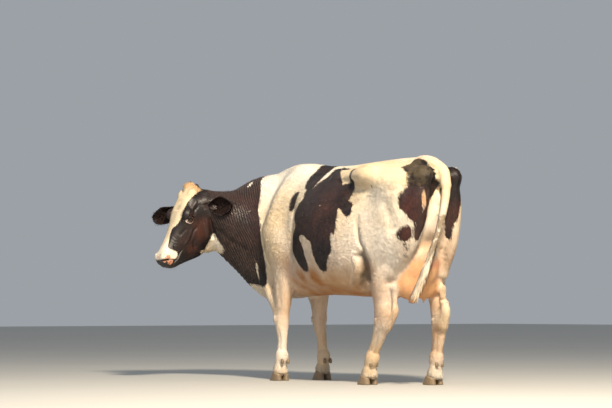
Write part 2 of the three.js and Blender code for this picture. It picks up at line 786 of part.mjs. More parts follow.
const CORONET_HEIGHT = 62; // where the horn begins, at the middle of the foot
const CORONET_SLOPE = 0.42; // the horn is taller at the toe than at the heel
const SOLE_TOE = 70;
const SOLE_HEEL = 54;
const CLAW_HALF_WIDTH = 27;
const CLEFT = 5; // half the space between the two claws
const coronetNormal = at(-CORONET_SLOPE, 0, 1);

function claw({ side, forward, out }, outer) {
  const rings = [];
  const levels = [0, 0.12, 0.55, 1];
  const points = 10;
  for (const level of levels) {
    const ring = [];
    const tuck = level === 0 ? 3 : 0;
    const toe = SOLE_TOE - 48 * level - tuck;
    const heel = SOLE_HEEL - 10 * level - tuck;
    for (let i = 0; i < points; i++) {
      const angle = (2 * Math.PI * i) / points;
      const along = Math.cos(angle);
      const sideways = Math.sin(angle);
      const inner = sideways * outer < 0;
      const halfWidth = (CLAW_HALF_WIDTH - tuck) * (inner ? 0.86 : 1) * (1 - 0.06 * level);
      const reach = along > 0 ? along ** 1.1 * toe : -((-along) ** 0.8) * heel;
      const narrow = along > 0 ? 1 - 0.25 * along : 1;
      const place = forward + reach - 4;
      const height = level * (CORONET_HEIGHT - GAP + CORONET_SLOPE * (reach - 4));
      const across = (CLEFT + CLAW_HALF_WIDTH * 0.93) * outer + sideways * halfWidth * narrow;
      ring.push(at(place, out * side + across, height));
    }
    rings.push(ring);
  }
  return loft(rings);
}

const DEWCLAW = [13, 12, 20];
const CLAW_NAMES = { 1: "outer", [-1]: "inner" };
const dewclawAt = ({ side, forward, out }, outer) => at(forward - 62, out * side + 24 * outer, 132);

// A leg is cut across into named lengths. Each is [name, cell, top cut, lowest and highest level].
function addLeg(name, space, [front, back], lengths) {
  const foot = FOOT[name];
  const coronet = cut(at(foot.forward, 0, CORONET_HEIGHT), coronetNormal);
  lengths.forEach(([lengthName, cell, top, from, to], i) => {
    const last = i === lengths.length - 1;
    const sides = i < 2 ? space.slice(1) : space.slice(1, 2);
    const bottom = last ? coronet : lengths[i + 1][2];
    const cuts = i === 0 ? [...space, bottom] : [...sides, other(top), bottom];
    const box = corners(at(front, 70 * foot.side, from), at(back, 320 * foot.side, to));
    let solid = fleshPart(box, cell, cuts);
    for (const outer of last ? [1, -1] : []) {
      const place = dewclawAt(foot, outer);
      const socket = DEWCLAW.map((half) => half + GAP);
      solid = solid.subtract(ball(place, socket, 7, 4));
      addPart(`${name}_dewclaw_${CLAW_NAMES[outer * foot.side]}`, ball(place, DEWCLAW, 7, 4), clawHorn);
    }
    addPart(`${name}_${lengthName}`, solid, whiteCoat);
  });
  for (const outer of [1, -1])
    addPart(`${name}_claw_${CLAW_NAMES[outer * foot.side]}`, claw(foot, outer), clawHorn);
}

const level = (height) => cut(at(0, 0, height), UP);
for (const name of ["foreleg_left", "foreleg_right"])
  addLeg(name, armSpace(FOOT[name].side), [860, 480], [
    ["forearm", [46, 43, 78], null, 330, 820],
    ["shank", [29, 27, 62], level(352), 120, 400],
    ["pastern", [40, 40, 41], level(190), 20, 230],
  ]);
for (const name of ["hindleg_left", "hindleg_right"])
  addLeg(name, thighSpace(FOOT[name].side), [-150, -830], [
    ["thigh", [74, 62, 78], null, 680, 1160],
    ["gaskin", [48, 44, 62], level(720), 380, 800],
    ["shank", [33, 31, 58], level(440), 120, 500],
    ["pastern", [41, 40, 42], level(196), 20, 240],
  ]);

// The finished cow is set with the middle of her outline over the origin and her soles on it.
const reach = new THREE.Box3().setFromObject(cow, true);
const middle = reach.getCenter(new THREE.Vector3());
cow.position.set(-middle.x, -middle.y, -reach.min.z);

export default cow;
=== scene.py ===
# %% [markdown]
# # A dairy cow, life size
#
# This lesson builds the looks of a grown Holstein-Friesian cow around a fixed frame of solids.
# The frame gives the true outline in plain facets. Here one smooth skin takes the place of the
# facets, the face gets its lids, nostrils and mouth, and a short coat of hair is laid over it.
# Shapes are worked out in millimetres in the cow's own terms (forward, left, up) and are turned
# into the frame's metres only when a mesh is made.

import math
import time

import bmesh
import bpy
import numpy as np
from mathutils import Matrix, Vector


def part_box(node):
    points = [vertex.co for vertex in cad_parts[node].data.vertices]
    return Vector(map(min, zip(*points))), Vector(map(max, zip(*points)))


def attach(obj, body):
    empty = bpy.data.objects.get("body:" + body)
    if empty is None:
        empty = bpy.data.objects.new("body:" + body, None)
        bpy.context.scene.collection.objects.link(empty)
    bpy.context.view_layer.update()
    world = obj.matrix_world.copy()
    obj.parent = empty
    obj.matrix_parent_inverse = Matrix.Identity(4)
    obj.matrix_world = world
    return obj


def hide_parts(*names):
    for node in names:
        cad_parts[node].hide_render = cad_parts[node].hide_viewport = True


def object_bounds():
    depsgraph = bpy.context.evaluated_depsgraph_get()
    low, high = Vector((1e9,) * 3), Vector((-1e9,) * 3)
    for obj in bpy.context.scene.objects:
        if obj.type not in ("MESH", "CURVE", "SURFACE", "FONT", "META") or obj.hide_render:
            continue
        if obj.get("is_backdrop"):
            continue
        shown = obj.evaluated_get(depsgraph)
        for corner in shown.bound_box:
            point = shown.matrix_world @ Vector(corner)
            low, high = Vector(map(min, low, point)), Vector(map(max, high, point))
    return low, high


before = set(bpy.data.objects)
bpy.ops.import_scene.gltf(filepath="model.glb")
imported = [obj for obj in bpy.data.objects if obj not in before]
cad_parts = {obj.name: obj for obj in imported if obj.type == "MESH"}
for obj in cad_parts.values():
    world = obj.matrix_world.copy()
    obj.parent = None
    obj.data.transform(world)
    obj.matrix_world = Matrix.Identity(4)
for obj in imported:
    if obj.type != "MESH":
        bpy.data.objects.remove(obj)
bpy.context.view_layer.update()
started = time.time()


def clock():
    return f"after {time.time() - started:.1f} s"


def put_in_scene(name, data):
    made = bpy.data.objects.new(name, data)
    bpy.context.scene.collection.objects.link(made)
    return made


# %% [markdown]
# The cow's own origin is on the ground below the middle of her back. Two cuts show where it lies
# in the frame: the barrel runs from 330 mm ahead of it to 290 mm behind it, and the udder's two
# sides lie equally far from the middle. The cow faces -X, so forward and left are turned half way
# round the vertical.

# %% The cow's own terms
MM = 0.001
BARREL_AHEAD, BARREL_BEHIND = 330, 290
barrel_low, barrel_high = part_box("barrel")
udder_low, udder_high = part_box("udder")
ORIGIN = np.array([
    (barrel_low[0] + barrel_high[0]) / 2 + (BARREL_AHEAD - BARREL_BEHIND) / 2 * MM,
    (udder_low[1] + udder_high[1]) / 2,
    0.0,
])
TURN = np.array([-1.0, -1.0, 1.0])
FORWARD, LEFT, UP = np.eye(3)
rng = np.random.default_rng(7)


def to_frame(points):
    return points * MM * TURN + ORIGIN


def from_frame(points):
    return (points - ORIGIN) * TURN / MM


print("origin in the frame, m:", ORIGIN.round(4))

# %% [markdown]
# ## The form
#
# Muscle over bone has no edges, so the body is described by distances: each limb or mass gives,
# for any point, how far outside it the point is. Blending two such distances joins the masses
# with a fillet. The frame's solids were cut from the same masses, so these repeat their sizes.

# %% Blending and smooth tables
FAR = 1e4  # stands for "nowhere near"
NEAR = 150  # a mass is only worked out for points this close to its box


def blend(a, b, width):
    h = np.clip(width - np.abs(a - b), 0, None) / width
    return np.minimum(a, b) - h * h * width / 4


def between(values, place):
    values = np.asarray(values, float)
    place = np.asarray(place, float)
    last = len(values) - 1
    i = np.clip(np.floor(place).astype(int), 0, last - 1)
    t = np.clip(place - i, 0, 1)
    if values.ndim > 1:
        t = t[..., None]
    a, b, c, d = (values[np.clip(i + k, 0, last)] for k in (-1, 0, 1, 2))
    t2, t3 = t * t, t * t * t
    rise = (t3 - 2 * t2 + t) * (c - a) / 2 + (t3 - t2) * (d - b) / 2
    return (2 * t3 - 3 * t2 + 1) * b + rise + (3 * t2 - 2 * t3) * c


def ramp(x, low, high):
    t = np.clip((x - low) / (high - low), 0, 1)
    return t * t * (3 - 2 * t)


# %% A limb: a bone that curves, as deep and as wide as its slices say
def near_box(distance, low, high):
    def culled(points):
        result = np.full(len(points), FAR)
        close = ((points > low - NEAR) & (points < high + NEAR)).all(1)
        if close.any():
            result[close] = distance(points[close])
        return result

    return culled


def curve_through(corners, places):
    """An even curve through the corners, which slows down where they crowd together."""
    p = np.asarray(corners, float)
    p = np.vstack([2 * p[0] - p[1], p, 2 * p[-1] - p[-2]])
    gaps = np.sqrt(np.linalg.norm(np.diff(p, axis=0), axis=1))[:, None]
    i = np.clip(np.floor(places).astype(int), 0, len(corners) - 2)
    t = (np.asarray(places) - i)[:, None]
    a, b, c, d = (p[i + k] for k in range(4))
    before, here, after = (gaps[i + k] for k in range(3))
    leave = ((b - a) / before - (c - a) / (before + here) + (c - b) / here) * here
    reach = ((c - b) / here - (d - b) / (here + after) + (d - c) / after) * here
    t2, t3 = t * t, t * t * t
    middle = (2 * t3 - 3 * t2 + 1) * b + (3 * t2 - 2 * t3) * c
    return middle + (t3 - 2 * t2 + t) * leave + (t3 - t2) * reach


def limb(slices, finer=6, across=LEFT):
    places = np.linspace(0, len(slices) - 1, (len(slices) - 1) * finer + 1)
    centres = curve_through([s[0] for s in slices], places)
    deep = between([s[1] for s in slices], places)
    wide = between([s[2] for s in slices], places)

    def distance(points):
        nearest = np.full(len(points), FAR)
        for i in range(len(centres) - 1):
            bone = centres[i + 1] - centres[i]
            away = points - centres[i]
            t = np.clip(away @ bone / (bone @ bone), 0, 1)
            away -= t[:, None] * bone
            d = deep[i] + (deep[i + 1] - deep[i]) * t
            w = wide[i] + (wide[i + 1] - wide[i]) * t
            side = away @ across
            rest = np.sqrt(np.maximum((away * away).sum(1) - side * side, 0))
            here = (np.hypot(rest / d, side / w) - 1) * np.minimum(d, w)
            nearest = np.minimum(nearest, here)
        return nearest

    reach = max(deep.max(), wide.max())
    return near_box(distance, centres.min(0) - reach, centres.max(0) + reach)


# %% A mass is a stretched ball, a hull a trough with its own top and bottom at every station
BODY_FRAME = np.array([FORWARD, LEFT, UP])


def mass(centre, halves, axes=BODY_FRAME):
    centre = np.asarray(centre, float)

    def distance(points):
        scaled = (points - centre) @ axes.T / halves
        return (np.sqrt((scaled * scaled).sum(1)) - 1) * min(halves)

    reach = max(halves)
    return near_box(distance, centre - reach, centre + reach)


def hull(origin, axes, stations, roundness):
    stations = np.asarray(stations, float)
    along = stations[:, 0]
    sign = np.sign(along[1] - along[0])
    last = len(along) - 1

    def distance(points):
        away = (points - origin) @ axes.T
        s = away[:, 0]
        place = np.interp(s * sign, along * sign, np.arange(last + 1))
        before = (along[0] - s) / (along[1] - along[0])
        after = (s - along[-1]) / (along[-1] - along[-2])
        beyond = np.maximum(np.maximum(before, after), 0)
        top, bottom, half, widest = (between(stations[:, k], place) for k in (1, 2, 3, 4))
        height = away[:, 2] - widest
        reach = np.maximum(np.where(height > 0, top - widest, widest - bottom), 1)
        power = np.where(height > 0, *roundness)
        ratio = (np.abs(away[:, 1]) / half) ** power + (np.abs(height) / reach) ** power
        return (ratio ** (1 / power) - 1 + beyond) * np.minimum(half, reach)

    return distance


# %% [markdown]
# The trunk is a hull: at stations from the breast back to the pins it has a top, a bottom, a half
# width and the height where it is widest. The spine, shoulders, hips and legs are limbs that lie
# in it or hang from it.

# %% Trunk and tail
WITHERS = 1440
TORSO = [
    # forward, top, bottom, half width, height of the widest place
    (870, 1140, 840, 30, 960),
    (800, 1260, 690, 105, 950),
    (690, 1400, 610, 180, 940),
    (560, 1430, 590, 228, 930),
    (360, 1420, 580, 282, 915),
    (100, 1412, 572, 342, 890),
    (-150, 1422, 564, 358, 880),
    (-350, 1422, 592, 322, 905),
    (-550, 1416, 760, 256, 1020),
    (-670, 1396, 880, 190, 1110),
    (-735, 1300, 960, 105, 1160),
    (-775, 1220, 1060, 25, 1150),
]
torso = hull(np.zeros(3), BODY_FRAME, TORSO, (2.05, 2.3))
spine = limb([
    ((760, 0, 1400), 26, 22),
    ((590, 0, WITHERS - 26), 26, 24),
    ((300, 0, 1404), 20, 20),
    ((0, 0, 1398), 20, 20),
    ((-330, 0, 1408), 22, 24),
    ((-560, 0, 1408), 26, 30),
    ((-690, 0, 1392), 32, 32),
])
TAIL = [
    ((-640, 0, 1386), 46, 48),
    ((-730, 0, 1380), 42, 42),
    ((-804, 2, 1342), 36, 36),
    ((-838, 6, 1262), 31, 31),
    ((-838, 16, 1150), 27, 27),
    ((-822, 40, 1010), 22, 22),
    ((-798, 72, 880), 17, 17),
    ((-772, 106, 760), 15, 15),
    ((-748, 138, 660), 14, 14),
    ((-730, 164, 590), 12, 12),
    ((-717, 183, 548), 9, 9),
]
tail = limb(TAIL)
brisket = mass((720, 0, 700), (120, 90, 118))
print("trunk from", TORSO[-1][0], "to", TORSO[0][0], "mm, withers", WITHERS, "mm up")


# %% Shoulders and hips
def shoulder(side):
    blade = [
        ((560, 70 * side, 1370), 90, 40),
        ((620, 165 * side, 1200), 110, 52),
        ((700, 200 * side, 1020), 95, 56),
    ]
    return [limb(blade), mass((600, 205 * side, 900), (150, 72, 150))]


def hip(side):
    loin = [
        ((60, 110 * side, 1345), 40, 70),
        ((-200, 165 * side, 1345), 46, 80),
        ((-350, 200 * side, 1328), 58, 70),
    ]
    haunch = [
        ((-345, 212 * side, 1326), 56, 60),
        ((-560, 208 * side, 1268), 64, 58),
        ((-745, 130 * side, 1310), 42, 44),
    ]
    rump = [
        ((-330, 130 * side, 1350), 46, 70),
        ((-520, 120 * side, 1350), 46, 68),
        ((-690, 78 * side, 1346), 40, 48),
    ]
    hook = mass((-342, 224 * side, 1326), (96, 66, 52))
    pin = mass((-765, 120 * side, 1320), (42, 42, 46))
    return [hook, limb(loin), limb(haunch), limb(rump), pin]


# %% Legs
FEET = {
    # side, top of the leg forward, foot forward, foot out from the middle
    "foreleg_left": (1, 612, 660, 170),
    "foreleg_right": (-1, 646, 588, 140),
    "hindleg_left": (1, -500, -245, 150),
    "hindleg_right": (-1, -500, -520, 165),
}
FORE_LEG = [
    # along, across, up, how far it follows the foot, half depth, half width
    (16, 190, 900, 0, 110, 64),
    (-6, 180, 760, 0, 96, 66),
    (0, 170, 640, 0.1, 80, 62),
    (6, 163, 540, 0.25, 68, 55),
    (12, 160, 460, 0.35, 54, 48),
    (16, 159, 400, 0.45, 52, 51),
    (10, 159, 345, 0.55, 44, 44),
    (0, 158, 280, 0.7, 38, 34),
    (0, 158, 205, 0.85, 39, 35),
    (-6, 159, 165, 0.95, 48, 46),
    (4, 160, 118, 1, 38, 46),
    (10, 160, 60, 1, 44, 52),
]
HIND_LEG = [
    (-20, 185, 1180, 0, 185, 90),
    (0, 196, 980, 0.1, 172, 78),
    (30, 192, 820, 0.28, 124, 68),
    (0, 176, 650, 0.45, 86, 56),
    (-34, 161, 535, 0.6, 66, 47),
    (-56, 155, 450, 0.66, 72, 48),
    (-50, 152, 365, 0.74, 62, 43),
    (-34, 151, 275, 0.85, 47, 37),
    (-18, 151, 215, 0.92, 43, 36),
    (-10, 152, 172, 0.95, 50, 46),
    (0, 152, 120, 1, 39, 46),
    (8, 152, 60, 1, 45, 52),
]
BACK_OF_THIGH = [
    (-235, 122, 1290, 0, 60, 62),
    (-215, 138, 1120, 0, 82, 68),
    (-155, 152, 900, 0.12, 88, 64),
    (-100, 158, 720, 0.4, 46, 42),
]
HEEL_TENDON = [
    (-112, 144, 612, 0.48, 27, 22),
    (-132, 140, 520, 0.6, 27, 23),
    (-142, 138, 470, 0.64, 31, 28),
    (-100, 142, 385, 0.72, 30, 26),
]


# %% Each leg stands on its own foot
def leg_slices(name, table):
    side, top, forward, out = FEET[name]
    fore = name.startswith("fore")
    step = forward - (18 if fore else 28) - top
    spread = (out - (160 if fore else 152)) if table in (FORE_LEG, HIND_LEG) else 0
    return [
        ((top + along + step * follow, (across + spread * follow) * side, up), deep, wide)
        for along, across, up, follow, deep, wide in table
    ]


def front_of_forearm(name):
    side, _, forward, _ = FEET[name]
    front = forward if side > 0 else forward + 28  # the right leg stands under the chest
    return limb([
        ((front + 190, 130 * side, 800), 84, 56),
        ((front + 156, 146 * side, 684), 70, 50),
        ((front + 92, 164 * side, 584), 50, 44),
        ((front + 40, 168 * side, 500), 34, 36),
        ((front + 16, 165 * side, 430), 26, 30),
    ])


legs = []
for name, (side, top, forward, _) in FEET.items():
    if name.startswith("fore"):
        legs += [limb(leg_slices(name, FORE_LEG)), front_of_forearm(name)]
        continue
    legs += [limb(leg_slices(name, table)) for table in (HIND_LEG, BACK_OF_THIGH, HEEL_TENDON)]
    stifle = (top + 115 + (forward - 28 - top) * 0.2, 212 * side, 930)
    legs.append(mass(stifle, (80, 66, 120)))
print("masses in the four legs:", len(legs))

# %% [markdown]
# The head hangs from the poll. Its own frame runs along the face to the muzzle, out to its left,
# and up off the forehead; `on_head` turns a place on it into the cow's terms.

# %% Head and neck
POLL = np.array([1213.0, 545.0, 1347.0])
HEAD_TURN, HEAD_DROP, HEAD_ROLL = np.radians([89, 62, 3])
heading = np.array([math.cos(HEAD_TURN), math.sin(HEAD_TURN), 0])
level_side = np.array([-math.sin(HEAD_TURN), math.cos(HEAD_TURN), 0])
NOSE = heading * math.cos(HEAD_DROP) - UP * math.sin(HEAD_DROP)
HEAD_SIDE = level_side * math.cos(HEAD_ROLL) + np.cross(NOSE, level_side) * math.sin(HEAD_ROLL)
BROW = np.cross(NOSE, HEAD_SIDE)
HEAD_FRAME = np.array([NOSE, HEAD_SIDE, BROW])


def on_head(along, left, out):
    return POLL + np.array([along, left, out], float) @ HEAD_FRAME


def head_terms(points):
    return (points - POLL) @ HEAD_FRAME.T


# %% Neck and dewlap
neck = limb([
    ((560, 0, 1020), 405, 180),
    ((800, 30, 1045), 385, 150),
    ((960, 110, 1060), 345, 122),
    ((1080, 220, 1070), 252, 108),
    ((1160, 345, 1116), 192, 98),
    ((1198, 440, 1168), 152, 92),
    (on_head(110, 0, -140), 120, 86),
], finer=10)
dewlap = limb([
    ((1198, 398, 918), 30, 27),
    ((1150, 330, 948), 40, 36),
    ((1060, 205, 826), 64, 40),
    ((965, 125, 696), 78, 48),
    ((880, 80, 626), 74, 58),
    ((740, 0, 664), 66, 66),
    ((600, 0, 668), 56, 70),
])

# %% The skull and what lies on it
FACE = [
    # along, top, bottom, half width, height of the widest place
    (-8, -34, -90, 38, -60),
    (20, -12, -160, 66, -66),
    (90, 8, -225, 98, -76),
    (170, 12, -278, 108, -84),
    (245, 6, -318, 103, -92),
    (310, -4, -342, 88, -114),
    (380, -10, -322, 74, -116),
    (450, -12, -270, 65, -102),
    (520, -12, -208, 66, -88),
    (562, -18, -160, 69, -84),
    (580, -28, -148, 61, -82),
    (592, -46, -132, 45, -84),
    (599, -66, -110, 22, -86),
]
skull = hull(POLL, HEAD_FRAME, FACE, (2.6, 2.2))


def head_mass(along, left, out, halves):
    return mass(on_head(along, left, out), halves, HEAD_FRAME)


# The head isn't quite even: the left ear is laid back and the right one is pricked.
BROW_RIDGE = {1: (222, 95, -42), -1: (216, -104, -26)}
EAR_ROOT = {1: (98, 92, -138), -1: (116, -86, -96)}
head_masses = [
    head_mass(20, 0, -12, (44, 46, 36)),  # poll
    head_mass(300, 0, -222, (130, 64, 84)),  # jaws
    head_mass(526, 0, -148, (50, 46, 32)),  # chin
    head_mass(552, 0, -84, (46, 66, 50)),  # upper lip
]
for side in (1, -1):
    head_masses += [
        head_mass(66, 66 * side, -26, (36, 30, 34)),  # corner of the brow, where a horn would be
        head_mass(*BROW_RIDGE[side], (46, 28, 38)),  # brow
        head_mass(268, 76 * side, -190, (92, 26, 96)),  # chewing muscle
        head_mass(548, 44 * side, -56, (34, 26, 34)),  # wing of the nostril
        head_mass(*EAR_ROOT[side], (44, 36, 44)),  # root of the ear
    ]
print("head:", FACE[-1][0] - FACE[0][0], "mm long, with", len(head_masses), "masses on it")

# %% [markdown]
# The udder is four quarters under a broad base, each with a teat. In the skin the teats belong to
# it, as on the animal, where bare skin runs from the udder down to the tip.

# %% Udder and teats
udder = [mass((-500, 0, 712), (190, 150, 130)), mass((-590, 0, 800), (110, 130, 160))]
for side in (1, -1):
    udder += [
        mass((-425, 66 * side, 638), (95, 74, 92)),
        mass((-545, 66 * side, 634), (95, 78, 92)),
    ]
TEATS = [(-425, 76, 569), (-425, -76, 569), (-552, 60, 565), (-552, -60, 565)]
teats = [
    limb([
        ((f, l, u + 16), 17, 17),
        ((f, l, u - 10), 12, 12),
        ((f, l, u - 28), 10.5, 10.5),
        ((f, l, u - 38), 8, 8),
    ])
    for f, l, u in TEATS
]
print("masses in the udder:", len(udder), "and teats:", len(teats))

# %% Where the eyes and the hooves cut the form
EYE_RADIUS = 21
LID = 3.4  # thickness of a lid over the eyeball
EYES = {side: on_head(242, 100 * side, -78) for side in (1, -1)}
CORONET_HEIGHT, CORONET_SLOPE = 62, 0.42
coronet_normal = np.array([CORONET_SLOPE, 0, -1]) / math.hypot(CORONET_SLOPE, 1)


def coronets(points):
    """How far a point lies under the slanting line where the hoof begins."""
    under = np.full(len(points), -FAR)
    low = points[:, 2] < 260
    for side, _, forward, out in FEET.values():
        foot = np.array([forward, out * side, CORONET_HEIGHT])
        near = low & (np.abs(points[:, :2] - foot[:2]) < 120).all(1)
        under[near] = (points[near] - foot) @ coronet_normal
    return under


# %% The whole form
# Widths of the fillets, in mm: wide where muscle covers bone, narrow on the head.
SOFT, LIMB_FILLET, FINE, UDDER_FILLET, JOIN = 70, 45, 26, 28, 34
TEAT_FILLET, TAIL_FILLET, LID_FILLET, CORONET_FILLET = 14, 12, 16, 6
groups = [
    (SOFT, [torso, spine, limb(TAIL[:4]), brisket, neck, dewlap]),
    (SOFT, shoulder(1) + hip(1) + shoulder(-1) + hip(-1)),
    (LIMB_FILLET, legs),
    (FINE, [skull] + head_masses),
    (UDDER_FILLET, udder),
]
lids = [mass(EYES[side], [EYE_RADIUS + LID] * 3) for side in (1, -1)]


def flesh(points):
    distance = np.full(len(points), FAR)
    for width, shapes in groups:
        together = np.full(len(points), FAR)
        for shape in shapes:
            together = blend(together, shape(points), width)
        distance = blend(distance, together, JOIN)
    for fillet, shapes in ((TEAT_FILLET, teats), (TAIL_FILLET, [tail]), (LID_FILLET, lids)):
        for shape in shapes:
            distance = blend(distance, shape(points), fillet)
    return -blend(-distance, -coronets(points), CORONET_FILLET)


# %% [markdown]
# The slope of the form shows which way is out. It is read from four points at the corners of a
# small tetrahedron, and a point slides along it until it lies as deep as the coat is thick.

# %% Drawing points onto the form
TETRA = np.array([(1, -1, -1), (-1, -1, 1), (-1, 1, -1), (1, 1, 1)], float)
COAT = 4.0  # the skin lies this far, in mm, inside the tips of the coat


def form_at(points, step=1.0):
    value = np.zeros(len(points))
    slope = np.zeros((len(points), 3))
    for corner in TETRA:
        here = flesh(points + corner * step)
        value += here / 4
        slope += here[:, None] * corner / (4 * step)
    return value, slope


def draw_onto(points, depth, rounds):
    for _ in range(rounds):
        value, slope = form_at(points)
        steep = np.maximum((slope * slope).sum(1), 0.05)
        step = slope * ((value + depth) / steep)[:, None]
        size = np.linalg.norm(step, axis=1, keepdims=True)
        points = points - step * np.minimum(1, 10 / np.maximum(size, 1e-9))
    return points


check = np.array([EYES[1], (0, 0, 1000), (0, 360, 900)])
print("distances at the left eye, inside the belly, beside it:", flesh(check).round(1))

# %% [markdown]
# ## The skin
#
# Skin is one sheet from the lips to the tip of the tail. It could be modelled by hand from a box,
# but the frame already has the outline. So all the frame's solids of flesh are joined, swollen a
# little to close the cuts between them, and remeshed into even squares. The squares are then
# split where the form is finer, on the legs and most of all round the eyes.


# %% A loft through rings
def loft(rings):
    rings = np.asarray(rings, float)
    lengths, around = rings.shape[:2]
    ring_starts = np.arange(lengths - 1)[:, None] * around
    here, there = np.arange(around), (np.arange(around) + 1) % around
    quads = np.stack([
        ring_starts + here, ring_starts + there,
        ring_starts + there + around, ring_starts + here + around,
    ], -1).reshape(-1, 4)
    corners = np.vstack([rings.reshape(-1, 3), rings[0].mean(0), rings[-1].mean(0)])
    last = (lengths - 1) * around
    first_fan = np.stack([np.full(around, lengths * around), there, here], 1)
    last_fan = np.stack([np.full(around, lengths * around + 1), last + here, last + there], 1)
    return corners, [tuple(q) for q in quads.tolist() + first_fan.tolist() + last_fan.tolist()]


# %% One closed sheet of even squares
flesh_nodes = [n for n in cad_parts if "claw" not in n and not n.startswith(("eye_", "ear_"))]
SWELL = 0.0008  # m, closes the cuts between the solids
SQUARE = 0.0128  # m, side of a square
TAIL_SWELL = 1.35  # the tube of the tail is thick enough for the squares to hold it


def tube(slices, places, swell, around=14):
    centres = curve_through([c for c, _, _ in slices], places)
    ways = np.gradient(centres, axis=0)
    radii = between([d for _, d, _ in slices], places) * swell
    turn = np.linspace(0, 2 * math.pi, around, endpoint=False)[:, None]
    rings = []
    for centre, way, radius in zip(centres, ways, radii):
        front = np.cross(LEFT, way)
        front /= np.linalg.norm(front)
        rings.append(centre + radius * (np.cos(turn) * front + np.sin(turn) * LEFT))
    return loft(rings)


tail_corners, tail_faces = tube(TAIL, np.linspace(1, len(TAIL) - 1.2, 60), TAIL_SWELL)
corners_list, faces_list, offset = [to_frame(tail_corners)], list(tail_faces), len(tail_corners)
for name in flesh_nodes:
    if name.startswith("tail"):
        continue
    mesh = bpy.data.objects[name].data
    normals = np.array([v.normal for v in mesh.vertices])
    corners_list.append(np.array([v.co for v in mesh.vertices]) + normals * SWELL)
    faces_list += [tuple(i + offset for i in polygon.vertices) for polygon in mesh.polygons]
    offset += len(mesh.vertices)
rough = bpy.data.meshes.new("rough")
rough.from_pydata(np.vstack(corners_list).tolist(), [], faces_list)
skin_object = put_in_scene("skin", rough)
remesh = skin_object.modifiers.new("even", "REMESH")
remesh.mode = "VOXEL"
remesh.voxel_size = SQUARE
graph = bpy.context.evaluated_depsgraph_get()
sheet = bmesh.new()
sheet.from_mesh(skin_object.evaluated_get(graph).to_mesh())
skin_object.modifiers.clear()
print("even squares:", len(sheet.faces))


# %% Only the outer sheet is kept
def islands(sheet):
    unseen = set(sheet.verts)
    while unseen:
        island, edge = set(), [unseen.pop()]
        while edge:
            vertex = edge.pop()
            island.add(vertex)
            for link in vertex.link_edges:
                other = link.other_vert(vertex)
                if other in unseen:
                    unseen.discard(other)
                    edge.append(other)
        yield island


pieces = sorted(islands(sheet), key=len)
for island in pieces[:-1]:
    bmesh.ops.delete(sheet, geom=list(island), context="VERTS")
print("loose bits removed:", len(pieces) - 1)


# %% Finer squares where the form is finer
def coordinates(sheet):
    return from_frame(np.array([v.co for v in sheet.verts]))


def refine(sheet, wanted):
    chosen = wanted(coordinates(sheet))
    sheet.verts.ensure_lookup_table()
    edges = [e for e in sheet.edges if chosen[e.verts[0].index] and chosen[e.verts[1].index]]
    bmesh.ops.subdivide_edges(sheet, edges=edges, cuts=1, use_grid_fill=True)
    sheet.verts.index_update()
    sheet.verts.ensure_lookup_table()


def on_neck_hide(points):
    f, l, u = points.T
    return (f > 800) & (u > 640) & (l > -60)


def on_pleated_neck(points):
    return on_neck_hide(points) & (skull(points) > 30) & (neck(points) < 60) & (points[:, 1] > 40)


def on_flank(points):
    f, l, u = points.T
    return (f > -440) & (f < -180) & (np.abs(l) > 170) & (u > 600) & (u < 1000)


def on_lower_legs(points):
    f, l, u = points.T
    return (u < 560) & (np.abs(l) < 320)


def on_tail_tip(points):
    return (tail(points) < 30) & (points[:, 2] < 1000) & (points[:, 0] < -650)


def on_head_skin(points):
    return (skull(points) < 40) & ~on_neck_hide(points)


def on_face(points):
    along, left, out = head_terms(points).T
    return (skull(points) < 30) & (along > 90) & ((out > -190) | (along > 400))


def round_eyes(points):
    near = [np.linalg.norm(points - EYES[side], axis=1) < 46 for side in (1, -1)]
    along, left, out = head_terms(points).T
    muzzle = (along > 520) & (out > -150)
    return near[0] | near[1] | (muzzle & (skull(points) < 30))


# Each place here is split once more wherever it lies inside one that came before it.
FINER_PLACES = [
    on_neck_hide, on_pleated_neck, on_flank, on_lower_legs,
    on_tail_tip, on_head_skin, on_face, round_eyes,
]
for wanted in FINER_PLACES:
    refine(sheet, wanted)
bmesh.ops.recalc_face_normals(sheet, faces=sheet.faces)
print("squares in the skin:", len(sheet.faces), clock())

# %% [markdown]
# Squares from a remesh are laid in steps, so the points are evened out by sliding each towards
# the middle of its neighbours, and drawn onto the form after every slide.

# %% The sheet drawn onto the form
points = coordinates(sheet)
edges = np.array([(e.verts[0].index, e.verts[1].index) for e in sheet.edges])
both_ways = np.vstack([edges, edges[:, ::-1]])
neighbours = np.bincount(both_ways[:, 0], minlength=len(points))


def even_out(values):
    total = np.stack([
        np.bincount(both_ways[:, 0], values[both_ways[:, 1], k], minlength=len(values))
        for k in range(values.shape[1])
    ], 1)
    return total / neighbours[:, None]


points = draw_onto(points, COAT, 1)
for share in (0.7, 0.5):
    points = points + share * (even_out(points) - points)
    points = draw_onto(points, COAT, 1)
value, slope = form_at(points)
outward = slope / np.linalg.norm(slope, axis=1, keepdims=True)
print("points lie", (value + COAT).std().round(2), "mm off the form,", clock())

# %% [markdown]
# ## Folds, veins and bones under the skin
#
# What makes skin look alive is small: the crease where the flank meets the thigh, the vein along
# the belly, lids, wrinkles over the nose. Each is a stroke along a path that presses the sheet in
# or lifts it, and fades out at both ends. A path is given by a few places that are first drawn
# onto the form, so it follows the body exactly.


